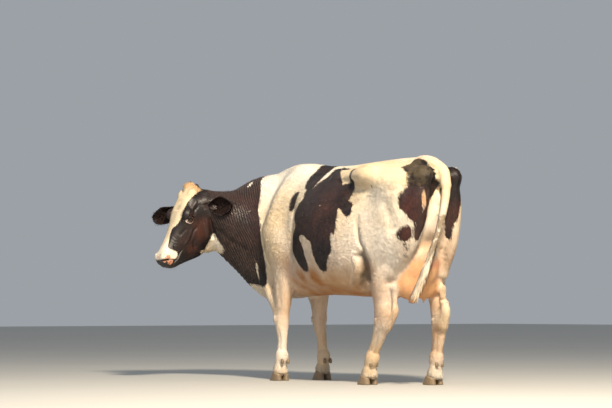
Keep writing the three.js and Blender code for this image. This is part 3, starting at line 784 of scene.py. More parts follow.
# %% A stroke that lifts or presses the skin
def stroke(points, path, width, height):
    path = curve_through(path, np.linspace(0, len(path) - 1, (len(path) - 1) * 4 + 1))
    low, high = path.min(0) - 3 * width, path.max(0) + 3 * width
    close = ((points > low) & (points < high)).all(1)
    here = points[close]
    best, place = np.full(len(here), FAR), np.zeros(len(here))
    for i, (a, b) in enumerate(zip(path[:-1], path[1:])):
        bone = b - a
        t = np.clip((here - a) @ bone / (bone @ bone), 0, 1)
        gap = np.linalg.norm(here - a - t[:, None] * bone, axis=1)
        nearer = gap < best
        best[nearer], place[nearer] = gap[nearer], (i + t[nearer]) / (len(path) - 1)
    lift = np.zeros(len(points))
    fade = ramp(place, -0.02, 0.22) * ramp(1 - place, -0.02, 0.22)
    lift[close] = height * fade * np.exp(-((best / width) ** 2))
    return lift


def lift_by(points, strokes):
    """All strokes together; their places are drawn onto the form in one go."""
    places = draw_onto(np.vstack([np.array(path, float) for _, _, path in strokes]), COAT, 5)
    ends = np.cumsum([len(path) for _, _, path in strokes])
    lift = np.zeros(len(points))
    for (width, height, _), path in zip(strokes, np.split(places, ends[:-1])):
        lift += stroke(points, path, width, height)
    return lift


# %% Strokes on the body, given on the left and mirrored
BODY_STROKES = [
    # half width, height, path as forward, left, up
    (24, -15, [(455, 235, 1260), (430, 285, 1080), (425, 290, 900),
               (455, 280, 760)]),  # behind the shoulder
    (24, 9, [(600, 140, 1340), (655, 190, 1180), (700, 215, 1040)]),  # ridge of the shoulder blade
    (20, -10, [(760, 200, 1150), (770, 215, 1000), (740, 225, 880)]),  # front of the shoulder
    (13, -20, [(-318, 335, 1100), (-336, 318, 1000), (-352, 315, 925), (-376, 303, 870),
               (-388, 288, 812)]),  # front edge of the thigh
    (29, -42, [(-340, 316, 850), (-362, 304, 820), (-374, 290, 785), (-368, 270, 730),
               (-345, 250, 670), (-320, 220, 620)]),  # the flank's pocket, between belly and thigh
    (26, -26, [(-335, 270, 720), (-318, 250, 680), (-280, 220, 640), (-220, 190, 610)]),  # groin
    (15, 13, [(-300, 325, 840), (-312, 308, 800), (-308, 292, 757), (-262, 270, 690),
              (-190, 232, 632)]),  # the web of skin in front of it
    (8, 7, [(-296, 326, 845), (-335, 316, 838), (-368, 306, 842)]),  # the fold over the flank's pocket
    (16, 6, [(20, 215, 1335), (-150, 250, 1330), (-310, 275, 1325)]),  # edge of the loin
    (60, -16, [(-150, 300, 1250), (-240, 300, 1200), (-270, 310, 1120)]),  # hollow of the flank
    (28, -13, [(-640, 85, 1390), (-710, 78, 1370), (-775, 70, 1320)]),  # beside the root of the tail
    (36, -9, [(-520, 265, 1200), (-590, 240, 1060), (-600, 235, 940)]),  # between the thigh muscles
    # the milk vein, and a branch of it higher up
    (11, 6, [(-310, 150, 640), (-180, 175, 600), (-60, 150, 590), (70, 170, 590), (220, 140, 600)]),
    (12, 4, [(-20, 285, 700), (60, 270, 680), (130, 285, 700), (230, 250, 680)]),
    (20, -6, [(1100, 420, 1080), (1010, 330, 960), (900, 260, 870)]),  # jugular groove
    (11, 6, [(-792, 17, 1250), (-796, 20, 1190), (-786, 12, 1130)]),  # lips of the vulva
    (9, -7, [(-480, 4, 600), (-560, 4, 590), (-640, 3, 640), (-700, 3, 720)]),  # halves of the udder
]
LAST_RIB, RIB_SPACING, RIB_WIDTH = -150, 68, 19
RIB_LIFTS = (2.2, 1.2, 1.8, 0.9)  # some ribs show more than others
RIBS = [(LAST_RIB + RIB_SPACING * k, RIB_LIFTS[k % 4]) for k in range(8)]
for forward, lift in RIBS:
    rib = [
        (forward + 30, 330, 1190), (forward - 10, 345, 1030),
        (forward - 20, 345, 880), (forward, 320, 760),
    ]
    BODY_STROKES.append((RIB_WIDTH, lift, rib))

strokes = []
for side in (1, -1):
    for width, height, path in BODY_STROKES:
        strokes.append((width, height, [(f, l * side, u) for f, l, u in path]))


# %% Tendons and joints of the legs
def on_leg(name, up, back, out):
    """A place beside the bone of a leg, `back` behind it and `out` to its outer side."""
    centres = [c for c, _, _ in leg_slices(name, FORE_LEG if name.startswith("fore") else HIND_LEG)]
    heights = [c[2] for c in centres][::-1]
    forward = np.interp(up, heights, [c[0] for c in centres][::-1])
    across = np.interp(up, heights, [c[1] for c in centres][::-1])
    return (forward - back, across + out * FEET[name][0], up)


BESIDE = 36  # mm to either side of the bone
HOCK_HOLLOWS = {
    # on the outer and the inner side: half width, height, places as up, back and out
    BESIDE: (9, -8, [(640, 104, 14), (560, 96, 12), (500, 92, 14), (450, 82, 16)]),
    -BESIDE: (17, -5, [(640, 62, -30), (560, 64, -30), (500, 56, -34)]),
}


# %% The same strokes on every leg
def leg_stroke(name, width, height, places):
    strokes.append((width, height, [on_leg(name, *place) for place in places]))


for name in FEET:
    for out in (BESIDE, -BESIDE):
        leg_stroke(name, 7, -4, [(up, 15, out) for up in (360, 300, 240, 205)])  # tendon
        if name.startswith("fore"):
            leg_stroke(name, 14, 5, [(440, -20, out), (395, -22, out)])  # knee
            leg_stroke(name, 9, -3, [(372, -30, out * 0.6), (350, -30, out)])
            leg_stroke(name, 12, -4, [(700, 10, out * 1.4), (600, 20, out), (500, 24, out)])
        else:
            leg_stroke(name, *HOCK_HOLLOWS[out])
            leg_stroke(name, 15, 5, [(430, -18, out), (380, -16, out)])  # hock
    leg_stroke(name, 10, -3, [(150, -40, -10), (145, -42, 10)])  # pastern
    leg_stroke(name, 5, -4, [(92, -40, 0), (60, -46, 0)])  # between the toes
    leg_stroke(name, 8, -5, [(110, 40, 0), (75, 46, 0)])  # between the heels
print("strokes on body and legs:", len(strokes))

# %% [markdown]
# The face is pressed in the head's own terms. A cow's eye is long and almond-shaped, a little
# higher behind; two folds run over it and finer ones below. The nostril is a comma, open towards
# the front, and loose skin wrinkles between it and the cheek.

# %% Strokes on the face
FACE_STROKES = [
    # half width, height, path as along, left, out
    (9, 4, [(285, 92, -118), (330, 84, -134), (380, 76, -138), (420, 70, -132)]),  # bone below the eye
    (11, -5, [(338, 84, -166), (372, 76, -196), (392, 66, -226)]),  # front of the chewing muscle
    (10, -4, [(300, 92, -88), (340, 84, -78), (380, 76, -66)]),  # groove from the eye to the nose
    # three wrinkles over the nose, and the soft roll behind them
    (5, -0.8, [(388, 50, -22), (402, 66, -48), (396, 72, -84)]),
    (5, -0.8, [(416, 48, -26), (422, 66, -58), (400, 73, -104)]),
    (4, -0.6, [(438, 52, -36), (438, 66, -70), (428, 70, -100)]),
    (12, 1.2, [(364, 68, -50), (386, 74, -86), (400, 72, -124)]),
    (9, 4.5, [(556, 26, -30), (544, 42, -32), (538, 60, -48), (542, 72, -70), (556, 74, -90)]),  # nostril
    (3.5, -4, [(556, 72, -88), (548, 76, -98), (536, 76, -104)]),  # tail of the nostril
    (4, -7, [(430, 64, -142), (470, 67, -133), (510, 68, -130), (552, 60, -124), (584, 36, -118),
             (596, 6, -115)]),  # mouth
    (9, 3.6, [(470, 67, -118), (515, 70, -112), (556, 62, -106), (586, 36, -102),
              (598, 6, -98)]),  # upper lip
    (9, 3.4, [(480, 62, -150), (520, 62, -146), (556, 50, -142), (580, 20, -138)]),  # lower lip
    (3.5, -2.4, [(588, 2, -52), (600, 2, -76), (598, 2, -100)]),  # split of the upper lip
    (26, -5, [(120, 20, 10), (175, 18, 12), (220, 14, 8)]),  # hollow of the forehead
    (8, 4, [(180, 96, -46), (215, 104, -40), (255, 98, -44)]),  # ridge of the brow
    (12, -5, [(150, 104, -70), (190, 106, -84), (212, 106, -78)]),  # hollow behind the eye
    (8, -4, [(150, 96, -130), (190, 104, -160), (215, 104, -190)]),  # edge of the cheek
    (13, -15, [(140, 110, -190), (185, 108, -232), (236, 96, -280), (262, 70, -310)]),  # behind the jaw
    (16, 7, [(170, 104, -170), (214, 104, -210), (262, 94, -250), (300, 80, -280)]),  # edge of the jaw
    (9, -4, [(252, 96, -150), (312, 94, -140), (372, 82, -160)]),  # under the cheekbone
    (7, 3, [(96, 100, -66), (140, 108, -60), (180, 106, -48)]),  # roll from ear to eye
    (6, -3.5, [(104, 104, -92), (150, 110, -84), (196, 108, -66)]),  # fold under it
    (5, -2.6, [(452, 62, -60), (470, 68, -84), (472, 70, -112)]),  # fold behind the nostril
]

# %% All strokes worked out
NOSTRIL = (9, -19, [(578, 30, -50), (570, 44, -54), (562, 56, -64), (560, 66, -80)])
pits = []
terms = head_terms(points)
for side in (1, -1):
    pits.append((*NOSTRIL[:2], [on_head(a, l * side, o) for a, l, o in NOSTRIL[2]]))
    for width, height, path in FACE_STROKES:
        strokes.append((width, height, [on_head(a, l * side, o) for a, l, o in path]))
    a, l, o = EAR_ROOT[side]
    bowl = [on_head(a - 12, l + 26 * side, o + 10), on_head(a + 14, l + 30 * side, o - 20)]
    strokes.append((26, -16, bowl))  # the bowl that the ear opens from
pit = lift_by(points, pits)
relief = lift_by(points, strokes) + pit
print("strokes:", len(strokes), clock())

# %% [markdown]
# Between the lids the sheet is pressed 13 mm in, behind the eyeball, so it lines the socket. Round
# the opening stand the lids' rims, two folds and a bag below, each a bump at its own distance from
# the edge.


# %% The opening between the lids
def eye_frame(side):
    outward = HEAD_FRAME.T @ np.array([0.16, side, 0.22])
    outward /= np.linalg.norm(outward)
    along = HEAD_FRAME.T @ np.array([0.6, 0, 0.8])
    along -= outward * (along @ outward)
    along /= np.linalg.norm(along)
    return np.array([along, np.cross(along, outward) * side, outward])


def almond(points, side):
    """Distance from the lids' edge, negative between the lids, and the place in the eye's frame."""
    a, b, c = ((points - EYES[side]) @ eye_frame(side).T).T
    lean = a + 0.15 * b
    upper = b - 13.5 * np.maximum(1 - (lean / 24) ** 2, -2)
    lower = -b - 9.5 * np.maximum(1 - (lean / 24) ** 2, -2)
    gap = np.maximum(upper, lower) * 0.8
    return np.where(c > 0, gap, FAR), b


opening, below_eye = np.full(len(points), FAR), np.zeros(len(points))
for side in (1, -1):
    edge, height = almond(points, side)
    near = edge < 40
    e, b = edge[near], height[near]
    press = 13 * ramp(-e, -0.6, 1.8)
    rim = 1.8 * np.exp(-(((e - 2.6) / 1.9) ** 2))
    folds = 1.6 * np.exp(-(((e - 6.6) / 1.5) ** 2)) + 1.3 * np.exp(-(((e - 12) / 1.8) ** 2))
    bag = 2.0 * np.exp(-(((e - 18) / 4.0) ** 2)) * np.where(b > 0, 1.3, 0.5)
    relief[near] += rim - folds + bag - press
    opening[near] = np.minimum(opening[near], e)
    below_eye[near] = -b
print("points between the lids:", (opening < 0).sum())

# %% [markdown]
# The neck is turned to the left, so its loose skin gathers there in fine pleats across the neck.
# They are waves along the neck's length. A slow waver in place and height keeps them from looking
# combed, and they fade out at the shoulder, the jaw and the stretched right side.

# %% Pleats on the turned neck
PLEAT = 17  # mm from crest to crest
on_neck_skin = ramp(neck(points), 40, 10) * ramp(points[:, 0], 790, 900) * ramp(skull(points), 20, 70)
on_neck_skin *= ramp(points[:, 1], 40, 90)
along_neck = points @ (0.685, 0.728, -0.35)
f, l, u = points.T
waver = 8 * np.sin(u / 83 + along_neck / 130) + 4 * np.sin(u / 37 - along_neck / 77 + 1)
wave = np.sin(2 * math.pi * (along_neck + waver) / PLEAT)
pleats = wave * (1.5 + 0.6 * np.sin(u / 61 + l / 50))
relief += pleats * on_neck_skin * ramp(u, 640, 760)
print("pleats as high as", pleats.max().round(1), "mm")

# %% The relief in the skin
skin_points = points + outward * relief[:, None]
print("relief from", relief.min().round(1), "to", relief.max().round(1), "mm")

# %% [markdown]
# ## Markings
#
# The coat is white with black patches. Every patch is an outline drawn on the body: on the trunk
# in distance forward and distance round from the spine, on the neck as seen from each side, on
# the rump as seen from behind, and on the face round the head. What is stored is how far inside a
# patch each place lies, in mm, so the skin and the hairs can each draw their own ragged edge. An
# image would blur that edge close up, and its seams would show.

# %% Outlines and how far inside them a place is
EDGE = 60  # mm, as deep as a patch needs to know


def smooth_outline(corners, finer=4):
    corners = np.asarray(corners, float)
    ring = np.vstack([corners[-1:], corners, corners[:2]])
    places = np.linspace(1, len(corners) + 1, len(corners) * finer + 1)[:-1]
    return curve_through(ring, places)


def inside_by(across, up, outline):
    depth = np.full(len(across), -float(EDGE))
    low, high = outline.min(0) - EDGE, outline.max(0) + EDGE
    close = (across > low[0]) & (across < high[0]) & (up > low[1]) & (up < high[1])
    x, y = across[close], up[close]
    gap, within = np.full(len(x), float(EDGE)), np.zeros(len(x), bool)
    for (ax, ay), (bx, by) in zip(outline, np.roll(outline, -1, 0)):
        dx, dy = bx - ax, by - ay
        t = np.clip(((x - ax) * dx + (y - ay) * dy) / (dx * dx + dy * dy + 1e-9), 0, 1)
        gap = np.minimum(gap, np.hypot(x - ax - t * dx, y - ay - t * dy))
        if dy:
            within ^= ((ay > y) != (by > y)) & (x < (y - ay) * dx / dy + ax)
    depth[close] = np.where(within, gap, -gap)
    return depth


# %% Patches of the trunk, as forward and degrees round from the spine
ROUND = 7.3  # mm round the body for one degree
BODY_AXIS = 1000
TRUNK_PATCHES = [
    [(419, 35), (412, 41), (434, 50), (459, 58), (488, 57), (500, 47), (485, 38), (449, 35)],
    [(243, 8), (225, 22), (233, 30), (271, 37), (338, 35), (370, 31), (381, 22), (375, 11), (389, 4),
     (402, -8), (432, -28), (402, -47), (352, -60), (296, -71), (246, -60), (205, -66), (168, -50),
     (196, -30), (222, -10)],
    [(79, 16), (-59, 32), (-143, 50), (-192, 57), (-245, 60), (-272, 68), (-265, 76), (-236, 77),
     (-192, 72), (-152, 67), (-157, 76), (-158, 90), (-150, 98), (-123, 93), (-116, 102),
     (-127, 111), (-75, 121), (-44, 129), (18, 130), (56, 123), (91, 113), (109, 104), (164, 100),
     (244, 95), (283, 99), (221, 109), (195, 119), (177, 128), (236, 134), (285, 132), (342, 125),
     (391, 115), (412, 104), (387, 97), (358, 83), (393, 67), (372, 54), (325, 47), (334, 37),
     (260, 36), (209, 29), (168, 22), (216, 8), (150, 6)],
    [(150, 5), (40, 8), (-60, 14), (-150, 24), (-212, 33), (-232, 42), (-218, 54), (-190, 62),
     (-130, 60), (-100, 45), (-112, 38), (-152, 39), (-176, 35), (-122, 24), (-40, 17), (60, 14)],
    [(60, -40), (130, -58), (152, -85), (120, -108), (40, -124), (-60, -130), (-128, -116),
     (-150, -98), (-214, -88), (-232, -64), (-150, -52), (-80, -34), (0, -30)],
]
WHITE_DOTS = [((60, 62), 6), ((36, 64), 4), ((84, 88), 5), ((92, 91), 4), ((150, 103), 9), ((30, 49), 4)]


def trunk_dark(points):
    f, l, u = points.T
    round_from_spine = np.degrees(np.arctan2(l, u - BODY_AXIS)) * ROUND
    dark = np.full(len(points), -float(EDGE))
    for patch in TRUNK_PATCHES:
        outline = smooth_outline([(forward, degrees * ROUND) for forward, degrees in patch])
        dark = np.maximum(dark, inside_by(f, round_from_spine, outline))
    for (forward, degrees), radius in WHITE_DOTS:
        dark = np.minimum(dark, np.hypot(f - forward, round_from_spine - degrees * ROUND) - radius)
    return np.where(f > -600, dark, -EDGE)


# %% The black neck, as forward and up, on each side
NECK_LEFT = smooth_outline([
    (975, 1440), (915, 1385), (847, 1288), (822, 1160), (798, 1043), (797, 928), (812, 850),
    (802, 760), (777, 650), (850, 646), (926, 655), (1000, 660), (1080, 640), (1250, 640),
    (1500, 900), (1600, 1200), (1400, 1500), (1150, 1500),
])
NECK_RIGHT = smooth_outline([
    (975, 1440), (900, 1392), (858, 1310), (800, 1230), (742, 1120), (728, 1000), (770, 900),
    (752, 820), (790, 760), (850, 690), (926, 676), (1020, 727), (1080, 770), (1200, 800),
    (1500, 900), (1600, 1200), (1400, 1500), (1150, 1500),
])


# The white of the throat, as left and up: a wedge behind the jaw that widens downwards.
THROAT = smooth_outline([
    (416, 1004), (384, 958), (352, 918), (330, 872), (336, 846), (360, 832), (420, 834),
    (470, 860), (488, 884), (452, 896), (440, 915), (434, 945), (428, 980),
])


def neck_dark(points):
    f, l, u = points.T
    off_middle = l - 0.45 * np.maximum(f - 760, 0)
    left, right = inside_by(f, u, NECK_LEFT), inside_by(f, u, NECK_RIGHT)
    share = ramp(off_middle, -25, 25)
    dark = left * share + right * (1 - share)
    streak = np.hypot(f - 892, (u - 750) * 0.2) - 11
    dark = np.minimum(dark, np.where(l > 120, streak, EDGE))
    spot = np.hypot(f - 985, (u - 1350) * 0.8) - 15
    dark = np.minimum(dark, np.where(l > 150, spot, EDGE))
    return dark


# %% The two patches on the pins, as left and up, seen from behind
PIN_LEFT = smooth_outline([
    (60, 1450), (100, 1450), (157, 1380), (208, 1300), (209, 1252), (222, 1222), (240, 1205),
    (242, 1160), (235, 1114), (222, 1095), (206, 1040), (190, 1021), (190, 976), (171, 922),
    (144, 916), (119, 977), (94, 1050), (108, 1110), (88, 1160), (40, 1200), (15, 1272), (40, 1320),
])
PIN_LEFT_LOW = smooth_outline([
    (222, 1000), (206, 1010), (196, 975), (190, 930), (206, 905), (228, 925), (236, 965),
])
PIN_RIGHT = smooth_outline([
    (-60, 1382), (-120, 1380), (-190, 1330), (-222, 1270), (-200, 1215), (-160, 1136), (-146, 1055),
    (-122, 1021), (-118, 973), (-116, 924), (-100, 930), (-77, 1004), (-59, 1068), (-36, 1150),
    (-16, 1240), (-24, 1330),
])
PIN_DOTS = [((203, 886), 8), ((196, 868), 6), ((184, 822), 8)]


def rump_dark(points):
    f, l, u = points.T
    dark = np.full(len(points), -float(EDGE))
    for outline in (PIN_LEFT, PIN_LEFT_LOW, PIN_RIGHT):
        dark = np.maximum(dark, inside_by(l, u, outline))
    for (left, up), radius in PIN_DOTS:
        dark = np.maximum(dark, radius - np.hypot(l - left, u - up))
    notch = (np.hypot((l - 148) / 15, (u - 1165) / 54) - 1) * 15
    return np.minimum(np.minimum(dark, -f - 590), notch)


# %% The blaze, round the head
BLAZE_LEFT = [
    (10, 74, -66), (23, 80, -62), (70, 88, -39), (113, 84, -19), (174, 79, -9), (226, 86, -9),
    (263, 76, -19), (309, 56, -19), (349, 28, -14), (380, 28, -15), (437, 38, -27), (479, 49, -34),
    (486, 61, -54), (481, 64, -78), (484, 64, -107), (508, 63, -124), (532, 65, -113),
    (567, 64, -87), (610, 50, -66),
]
BLAZE_RIGHT = [
    (610, -50, -66), (567, -64, -87), (528, -64, -110), (500, -64, -116), (486, -62, -90),
    (478, -58, -50), (440, -44, -30), (390, -44, -18), (350, -48, -16), (300, -60, -18),
    (240, -66, -14), (180, -64, -10), (120, -58, -16), (60, -50, -24), (14, -40, -40),
]
BLAZE_TOP = [(-40, -20, -40), (-40, 20, -40)]
HEAD_ROUND = 95  # mm round the head for one radian


def round_head(along, left, out):
    return np.stack([along, np.arctan2(left, out + 100) * HEAD_ROUND], -1)


blaze_corners = np.array(BLAZE_LEFT + BLAZE_RIGHT + BLAZE_TOP, float)
BLAZE = smooth_outline(round_head(*blaze_corners.T))


def head_dark(points):
    along, left, out = head_terms(points).T
    place = round_head(along, left, out)
    blaze = inside_by(place[:, 0], place[:, 1], BLAZE)
    blaze = np.minimum(blaze, along - 0.1 * left + 0.35 * out + 26)
    return -blaze


def dark_at(points):
    """How far inside the black a place is, in mm; below zero it is white."""
    head_like = np.minimum(skull(points), 200)
    neck_like = neck(points)
    share = ramp(neck_like - head_like + 10, -20, 20) * ramp(head_like, 60, 40)
    body = np.maximum(np.maximum(trunk_dark(points), neck_dark(points)), rump_dark(points))
    face = np.clip(head_dark(points), -EDGE, EDGE)
    dark = face * share + body * (1 - share)
    forward, left, up = points.T
    dark = np.minimum(dark, np.where(forward > 1000, -inside_by(left, up, THROAT), EDGE))
    on_tail = tail(points) < 8
    dark = np.where(on_tail & (points[:, 0] < -790), -EDGE, dark)
    return np.clip(dark, -EDGE, EDGE)


# %% [markdown]
# Two more things colour a cow in the field: warm stains where she lies and where urine and mud
# reach, and bare pink skin on the udder, the lids and the nose. Under the belly, the brisket and
# the elbows the warm stains are partly painted shade as well. Each stain is a ball of influence
# that fades from its middle, which is quick to place and has no edge to hide.

# %% Warm stains, and painted shade under the belly
# The broad stains under the belly, the brisket and the elbows are partly painted shade under the barrel.
STAINS_AND_BELLY_SHADE = [
    # forward, left, up, reach, strength
    (0, 0, 560, 420, 1.0), (250, 0, 560, 400, 1.0), (600, 0, 640, 190, 0.6), (-300, 0, 560, 300, 0.9),
    (440, 150, 660, 130, 0.9), (440, -150, 660, 130, 0.9), (-350, 230, 760, 90, 0.7),
    (130, 250, 690, 130, 0.9), (330, 230, 700, 120, 0.8), (-60, 280, 690, 110, 0.6),
    (300, 300, 1000, 120, 0.25), (-640, 0, 900, 150, 0.55), (-560, -100, 620, 120, 0.7),
    (480, 200, 780, 130, 0.55), (480, -200, 780, 130, 0.5), (-700, -150, 820, 160, 0.5),
    (-330, 170, 500, 80, 0.5), (-600, -165, 500, 90, 0.6), (-470, -160, 480, 70, 0.4),
    (640, 165, 400, 70, 0.35), (600, -150, 400, 70, 0.4), (-640, 120, 840, 120, 0.4),
    (-330, 160, 230, 90, 0.35), (-540, -160, 230, 110, 0.6), (640, 165, 180, 80, 0.25),
    (-600, -130, 330, 90, 0.6), (-420, 140, 420, 60, 0.7), (-300, 175, 470, 40, 0.9),
    (480, 120, 620, 80, 0.6),
]
YELLOW_RUMP = [(-775, 146, 1165, 60, 0.9), (-640, 40, 1400, 130, 0.3)]

# %% Mud and sun-bleached hair
MUD = [
    (-413, 284, 1305, 42, 0.6), (-425, 277, 1255, 40, 0.58), (-340, 282, 1262, 40, 0.55),
    (-330, 300, 1200, 50, 0.45), (-700, -190, 900, 90, 0.5), (-620, 180, 830, 80, 0.48),
]
MUD_ON_PINS = [
    (-740, 140, 1330, 110, 1.0), (-640, 110, 1390, 90, 0.95), (-770, 120, 1210, 80, 0.6),
    (-700, -150, 1340, 90, 0.6),
]
BLEACHED = [
    (*on_head(300, 95, -170), 75, 0.6), (*on_head(215, 100, -170), 50, 0.4),
    (*on_head(400, 65, -200), 45, 0.5), (*on_head(300, -95, -170), 75, 0.7),
    (-740, 190, 1080, 110, 1.0), (-700, 190, 950, 70, 0.9), (-740, -170, 1050, 100, 0.8),
    (850, 200, 1100, 200, 0.25), (60, 330, 1130, 230, 0.45), (330, 330, 1150, 160, 0.2),
]


def near_places(points, places):
    amount = np.zeros(len(points))
    for f, l, u, reach, strength in places:
        gap = ((points - (f, l, u)) ** 2).sum(1)
        amount = np.maximum(amount, strength * np.exp(-gap / reach**2))
    return amount


def stains_and_shade_at(points, dark):
    """How warm the white is, and how muddy the coat."""
    warm = np.minimum(1.25 * near_places(points, STAINS_AND_BELLY_SHADE), 1)
    f, l, u = points.T
    on_tail = ramp(tail(points), 14, 4)
    dirt = 0.76 * on_tail * ramp(u, 1110, 1060) * ramp(u, 850, 890) * ramp(f, -700, -760)
    dirt = np.maximum(dirt, near_places(points, MUD))
    dirt = np.maximum(dirt, near_places(points, MUD_ON_PINS) * ramp(dark, -12, 2))
    warm = np.maximum(warm, near_places(points, YELLOW_RUMP))
    low_tail = on_tail * ramp(u, 1200, 1100)
    warm = warm * (1 - low_tail) + low_tail * (0.12 + 0.8 * ramp(u, 650, 600) * ramp(u, 545, 575))
    return warm, dirt


# %% Bare skin of the udder and the nose
NOSTRIL_RIM = [(570, 44, -54), (562, 58, -66), (566, 62, -82), (556, 66, -60)]
NOSE_TOP = (560, 8, -26)


def nearest_of(shapes, points):
    return np.minimum.reduce([shape(points) for shape in shapes])


def bare_at(points):
    """Shares of udder skin, pink nose and black nose pad."""
    to_leg, to_udder = nearest_of(legs + [torso], points), nearest_of(udder + teats, points)
    bare = ramp(to_leg - to_udder, -10, 26) * ramp(points[:, 2], 850, 760) * ramp(tail(points), 4, 14)
    along, left, out = head_terms(points).T
    on_face_here = ramp(skull(points), 40, 20)
    # The pad is black below and in front; round the nostril it is pink, in a ring 30 mm wide.
    pad = ramp(along - 0.62 * out, 590, 606) * ramp(out, -126, -112) * on_face_here
    ring = np.minimum.reduce([
        np.linalg.norm(points - on_head(a, l * side, o), axis=1)
        for side in (1, -1) for a, l, o in NOSTRIL_RIM
    ])
    top = np.linalg.norm(points - on_head(*NOSE_TOP), axis=1)
    nose = np.maximum(0.86 * ramp(ring, 42, 12), 0.66 * ramp(top, 50, 10)) * on_face_here
    return bare, nose, np.clip(pad, 0, 1)


# %% All the marks of the skin
# Creases and folds are painted darker the deeper they are: painted shade.
FULL_SHADE, SHADE_FROM = 26, 0.22  # mm deep, and the share of that where a fold starts to darken
marks = {"dark": dark_at(points)}
marks["bare"], marks["nose"], marks["pad"] = bare_at(points)
marks["warm"], marks["dirt"] = stains_and_shade_at(points, marks["dark"])
marks["russet"] = near_places(points, BLEACHED)
marks["lid"] = np.where(opening < FAR, ramp(opening, 32, 8) * ramp(below_eye, -12, 3), 0)
marks["fold"] = np.clip(-relief / FULL_SHADE - SHADE_FROM, 0, 1) * (opening > 1)
# Round each ear's root the skin takes the inner ear's dark brown and dull finish: painted shade where the
# ear opens.
marks["inner_ear"] = np.zeros(len(points))
for side in (1, -1):
    a, l, o = EAR_ROOT[side]
    gap = np.linalg.norm(points - on_head(a, l + 24 * side, o - 8), axis=1)
    marks["inner_ear"] = np.maximum(marks["inner_ear"], ramp(gap, 50, 24))
# The lining between the lids and the pits of the nostrils are painted near black: painted shade of deep
# hollows.
marks["socket"] = np.maximum(ramp(-opening, -0.4, 1.4), ramp(-pit, 5, 13))
along, left, out = terms.T
# The tops of the pleats are painted lighter: partly dust, partly a painted sheen where they catch the
# light.
marks["pleat"] = on_neck_skin * ramp(wave, -0.3, 0.9) * (0.55 + 0.25 * np.sin(u / 90 + l / 70))
marks["lash"] = 1.0 * ((opening > 0) & (opening < 4.5) & (below_eye < -2))
marks["tan"] = 0.75 * ramp(along, 62, 24) * ramp(skull(points), 60, 40)
print("markings worked out", clock())

# %% [markdown]
# ## Ears
#
# An ear is a rolled leaf: a tube at its root that opens to a shallow cup and closes to a tip. It
# is lofted through rings, outer face first and inner face back, and joined to the sheet of skin. A
# flat leaf made thick by a modifier would be quicker, but its root wouldn't close to a tube.

# %% Two ears
EAR_THICKNESS = 8


def ear(root, direction, opening, length, breadth, lengths=26, turns=12):
    axis = direction / np.linalg.norm(direction)
    to_open = opening - axis * (opening @ axis)
    to_open /= np.linalg.norm(to_open)
    across = np.cross(axis, to_open)
    rings, inner = [], []
    for t in np.linspace(0, 1, lengths + 1):
        half_arc = 18 + breadth * math.sin(math.pi * min(t**1.15 * 1.01, 1)) ** 0.56
        roll = math.radians(150 - 92 * min(t * 1.6, 1))
        radius = half_arc / roll
        middle = root + axis * length * t + to_open * (radius - 16 * t * t)
        out_turn = np.linspace(-roll, roll, 2 * turns + 1)
        thick = EAR_THICKNESS * 0.5 * (0.45 + 0.55 * np.cos(out_turn / roll * math.pi / 2.2))
        wave = 1 + 0.03 * np.sin(out_turn * 3 + t * 9)
        shells = []
        for sign, turn in ((1, out_turn), (-1, out_turn[::-1])):
            reach = np.maximum(radius * wave + sign * thick - 0.5, 1)
            shell = middle - to_open * (np.cos(turn) * reach)[:, None]
            shells.append(shell + across * (np.sin(turn) * reach)[:, None])
        rings.append(np.vstack(shells))
        inner.append(np.repeat([0.0, 1.0], 2 * turns + 1))
    corners, faces = loft(rings)
    inside = np.concatenate(inner + [[0.0, 0.0]])
    spread = np.tile(np.concatenate([np.linspace(-1, 1, 2 * turns + 1)] * 2), lengths + 1)
    return {
        "corners": corners, "faces": faces, "inside": inside, "axis": axis, "open": to_open,
        "t": np.append(np.repeat(np.linspace(0, 1, lengths + 1), 4 * turns + 2), [0, 1]),
        "spread": np.append(spread, [0, 0]),
    }


def on_head_way(along, left, out):
    return on_head(along, left, out) - POLL


ears = [
    ear(on_head(88, 108, -160), on_head_way(-0.16, 0.9, -0.38), on_head_way(0.5, 0.42, 0.62), 180, 60),
    ear(on_head(126, -104, -82), on_head_way(0.68, -0.58, 0.44), on_head_way(0.4, 0.7, 0.4), 222, 54),
]

# %% The skin as one mesh
sheet_mesh = bpy.data.meshes.new("sheet")
sheet.to_mesh(sheet_mesh)
faces = [tuple(p.vertices) for p in sheet_mesh.polygons]
all_points = [skin_points]
for one in ears:
    start = sum(len(p) for p in all_points)
    centre = one["corners"].mean(0)
    faces += [tuple(start + i for i in face) for face in one["faces"]]
    all_points.append(one["corners"])
    size = len(one["corners"])
    lowness = -((one["corners"] - centre) @ UP) / 45
    within = one["inside"] * ramp(np.abs(one["spread"]), 0.95, 0.6) * ramp(one["t"], 0.97, 0.85)
    ear_marks = {
        "dark": np.full(size, float(EDGE)),
        "inner_ear": within,
        "russet": 0.3 * one["inside"],
        "straw": within * ramp(lowness, -0.5, 0.7) * ramp(one["t"], 0.95, 0.7),
    }
    for word in set(marks) | set(ear_marks):
        known = marks.get(word, np.zeros(start))
        marks[word] = np.concatenate([known, ear_marks.get(word, np.zeros(size))])
all_points = np.vstack(all_points)


def give_marks(mesh, marks):
    for word, values in marks.items():
        attribute = mesh.attributes.new(word, "FLOAT", "POINT")
        attribute.data.foreach_set("value", np.asarray(values, np.float32))


skin_mesh = bpy.data.meshes.new("skin")
skin_mesh.from_pydata(to_frame(all_points).tolist(), [], faces)
skin_mesh.polygons.foreach_set("use_smooth", [True] * len(skin_mesh.polygons))
give_marks(skin_mesh, marks)
skin_object.data = skin_mesh
skin_mesh.update()
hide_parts(*flesh_nodes, "ear_left", "ear_right")
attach(skin_object, "root")
print("skin:", len(all_points), "points,", len(faces), "faces,", clock())

# %% [markdown]
# ## Materials
#
# One small function adds a node, sets it and joins it to others. Colours are written as sRGB hex,
# as a paint chart gives them, and are turned to the linear values that light is reckoned in.


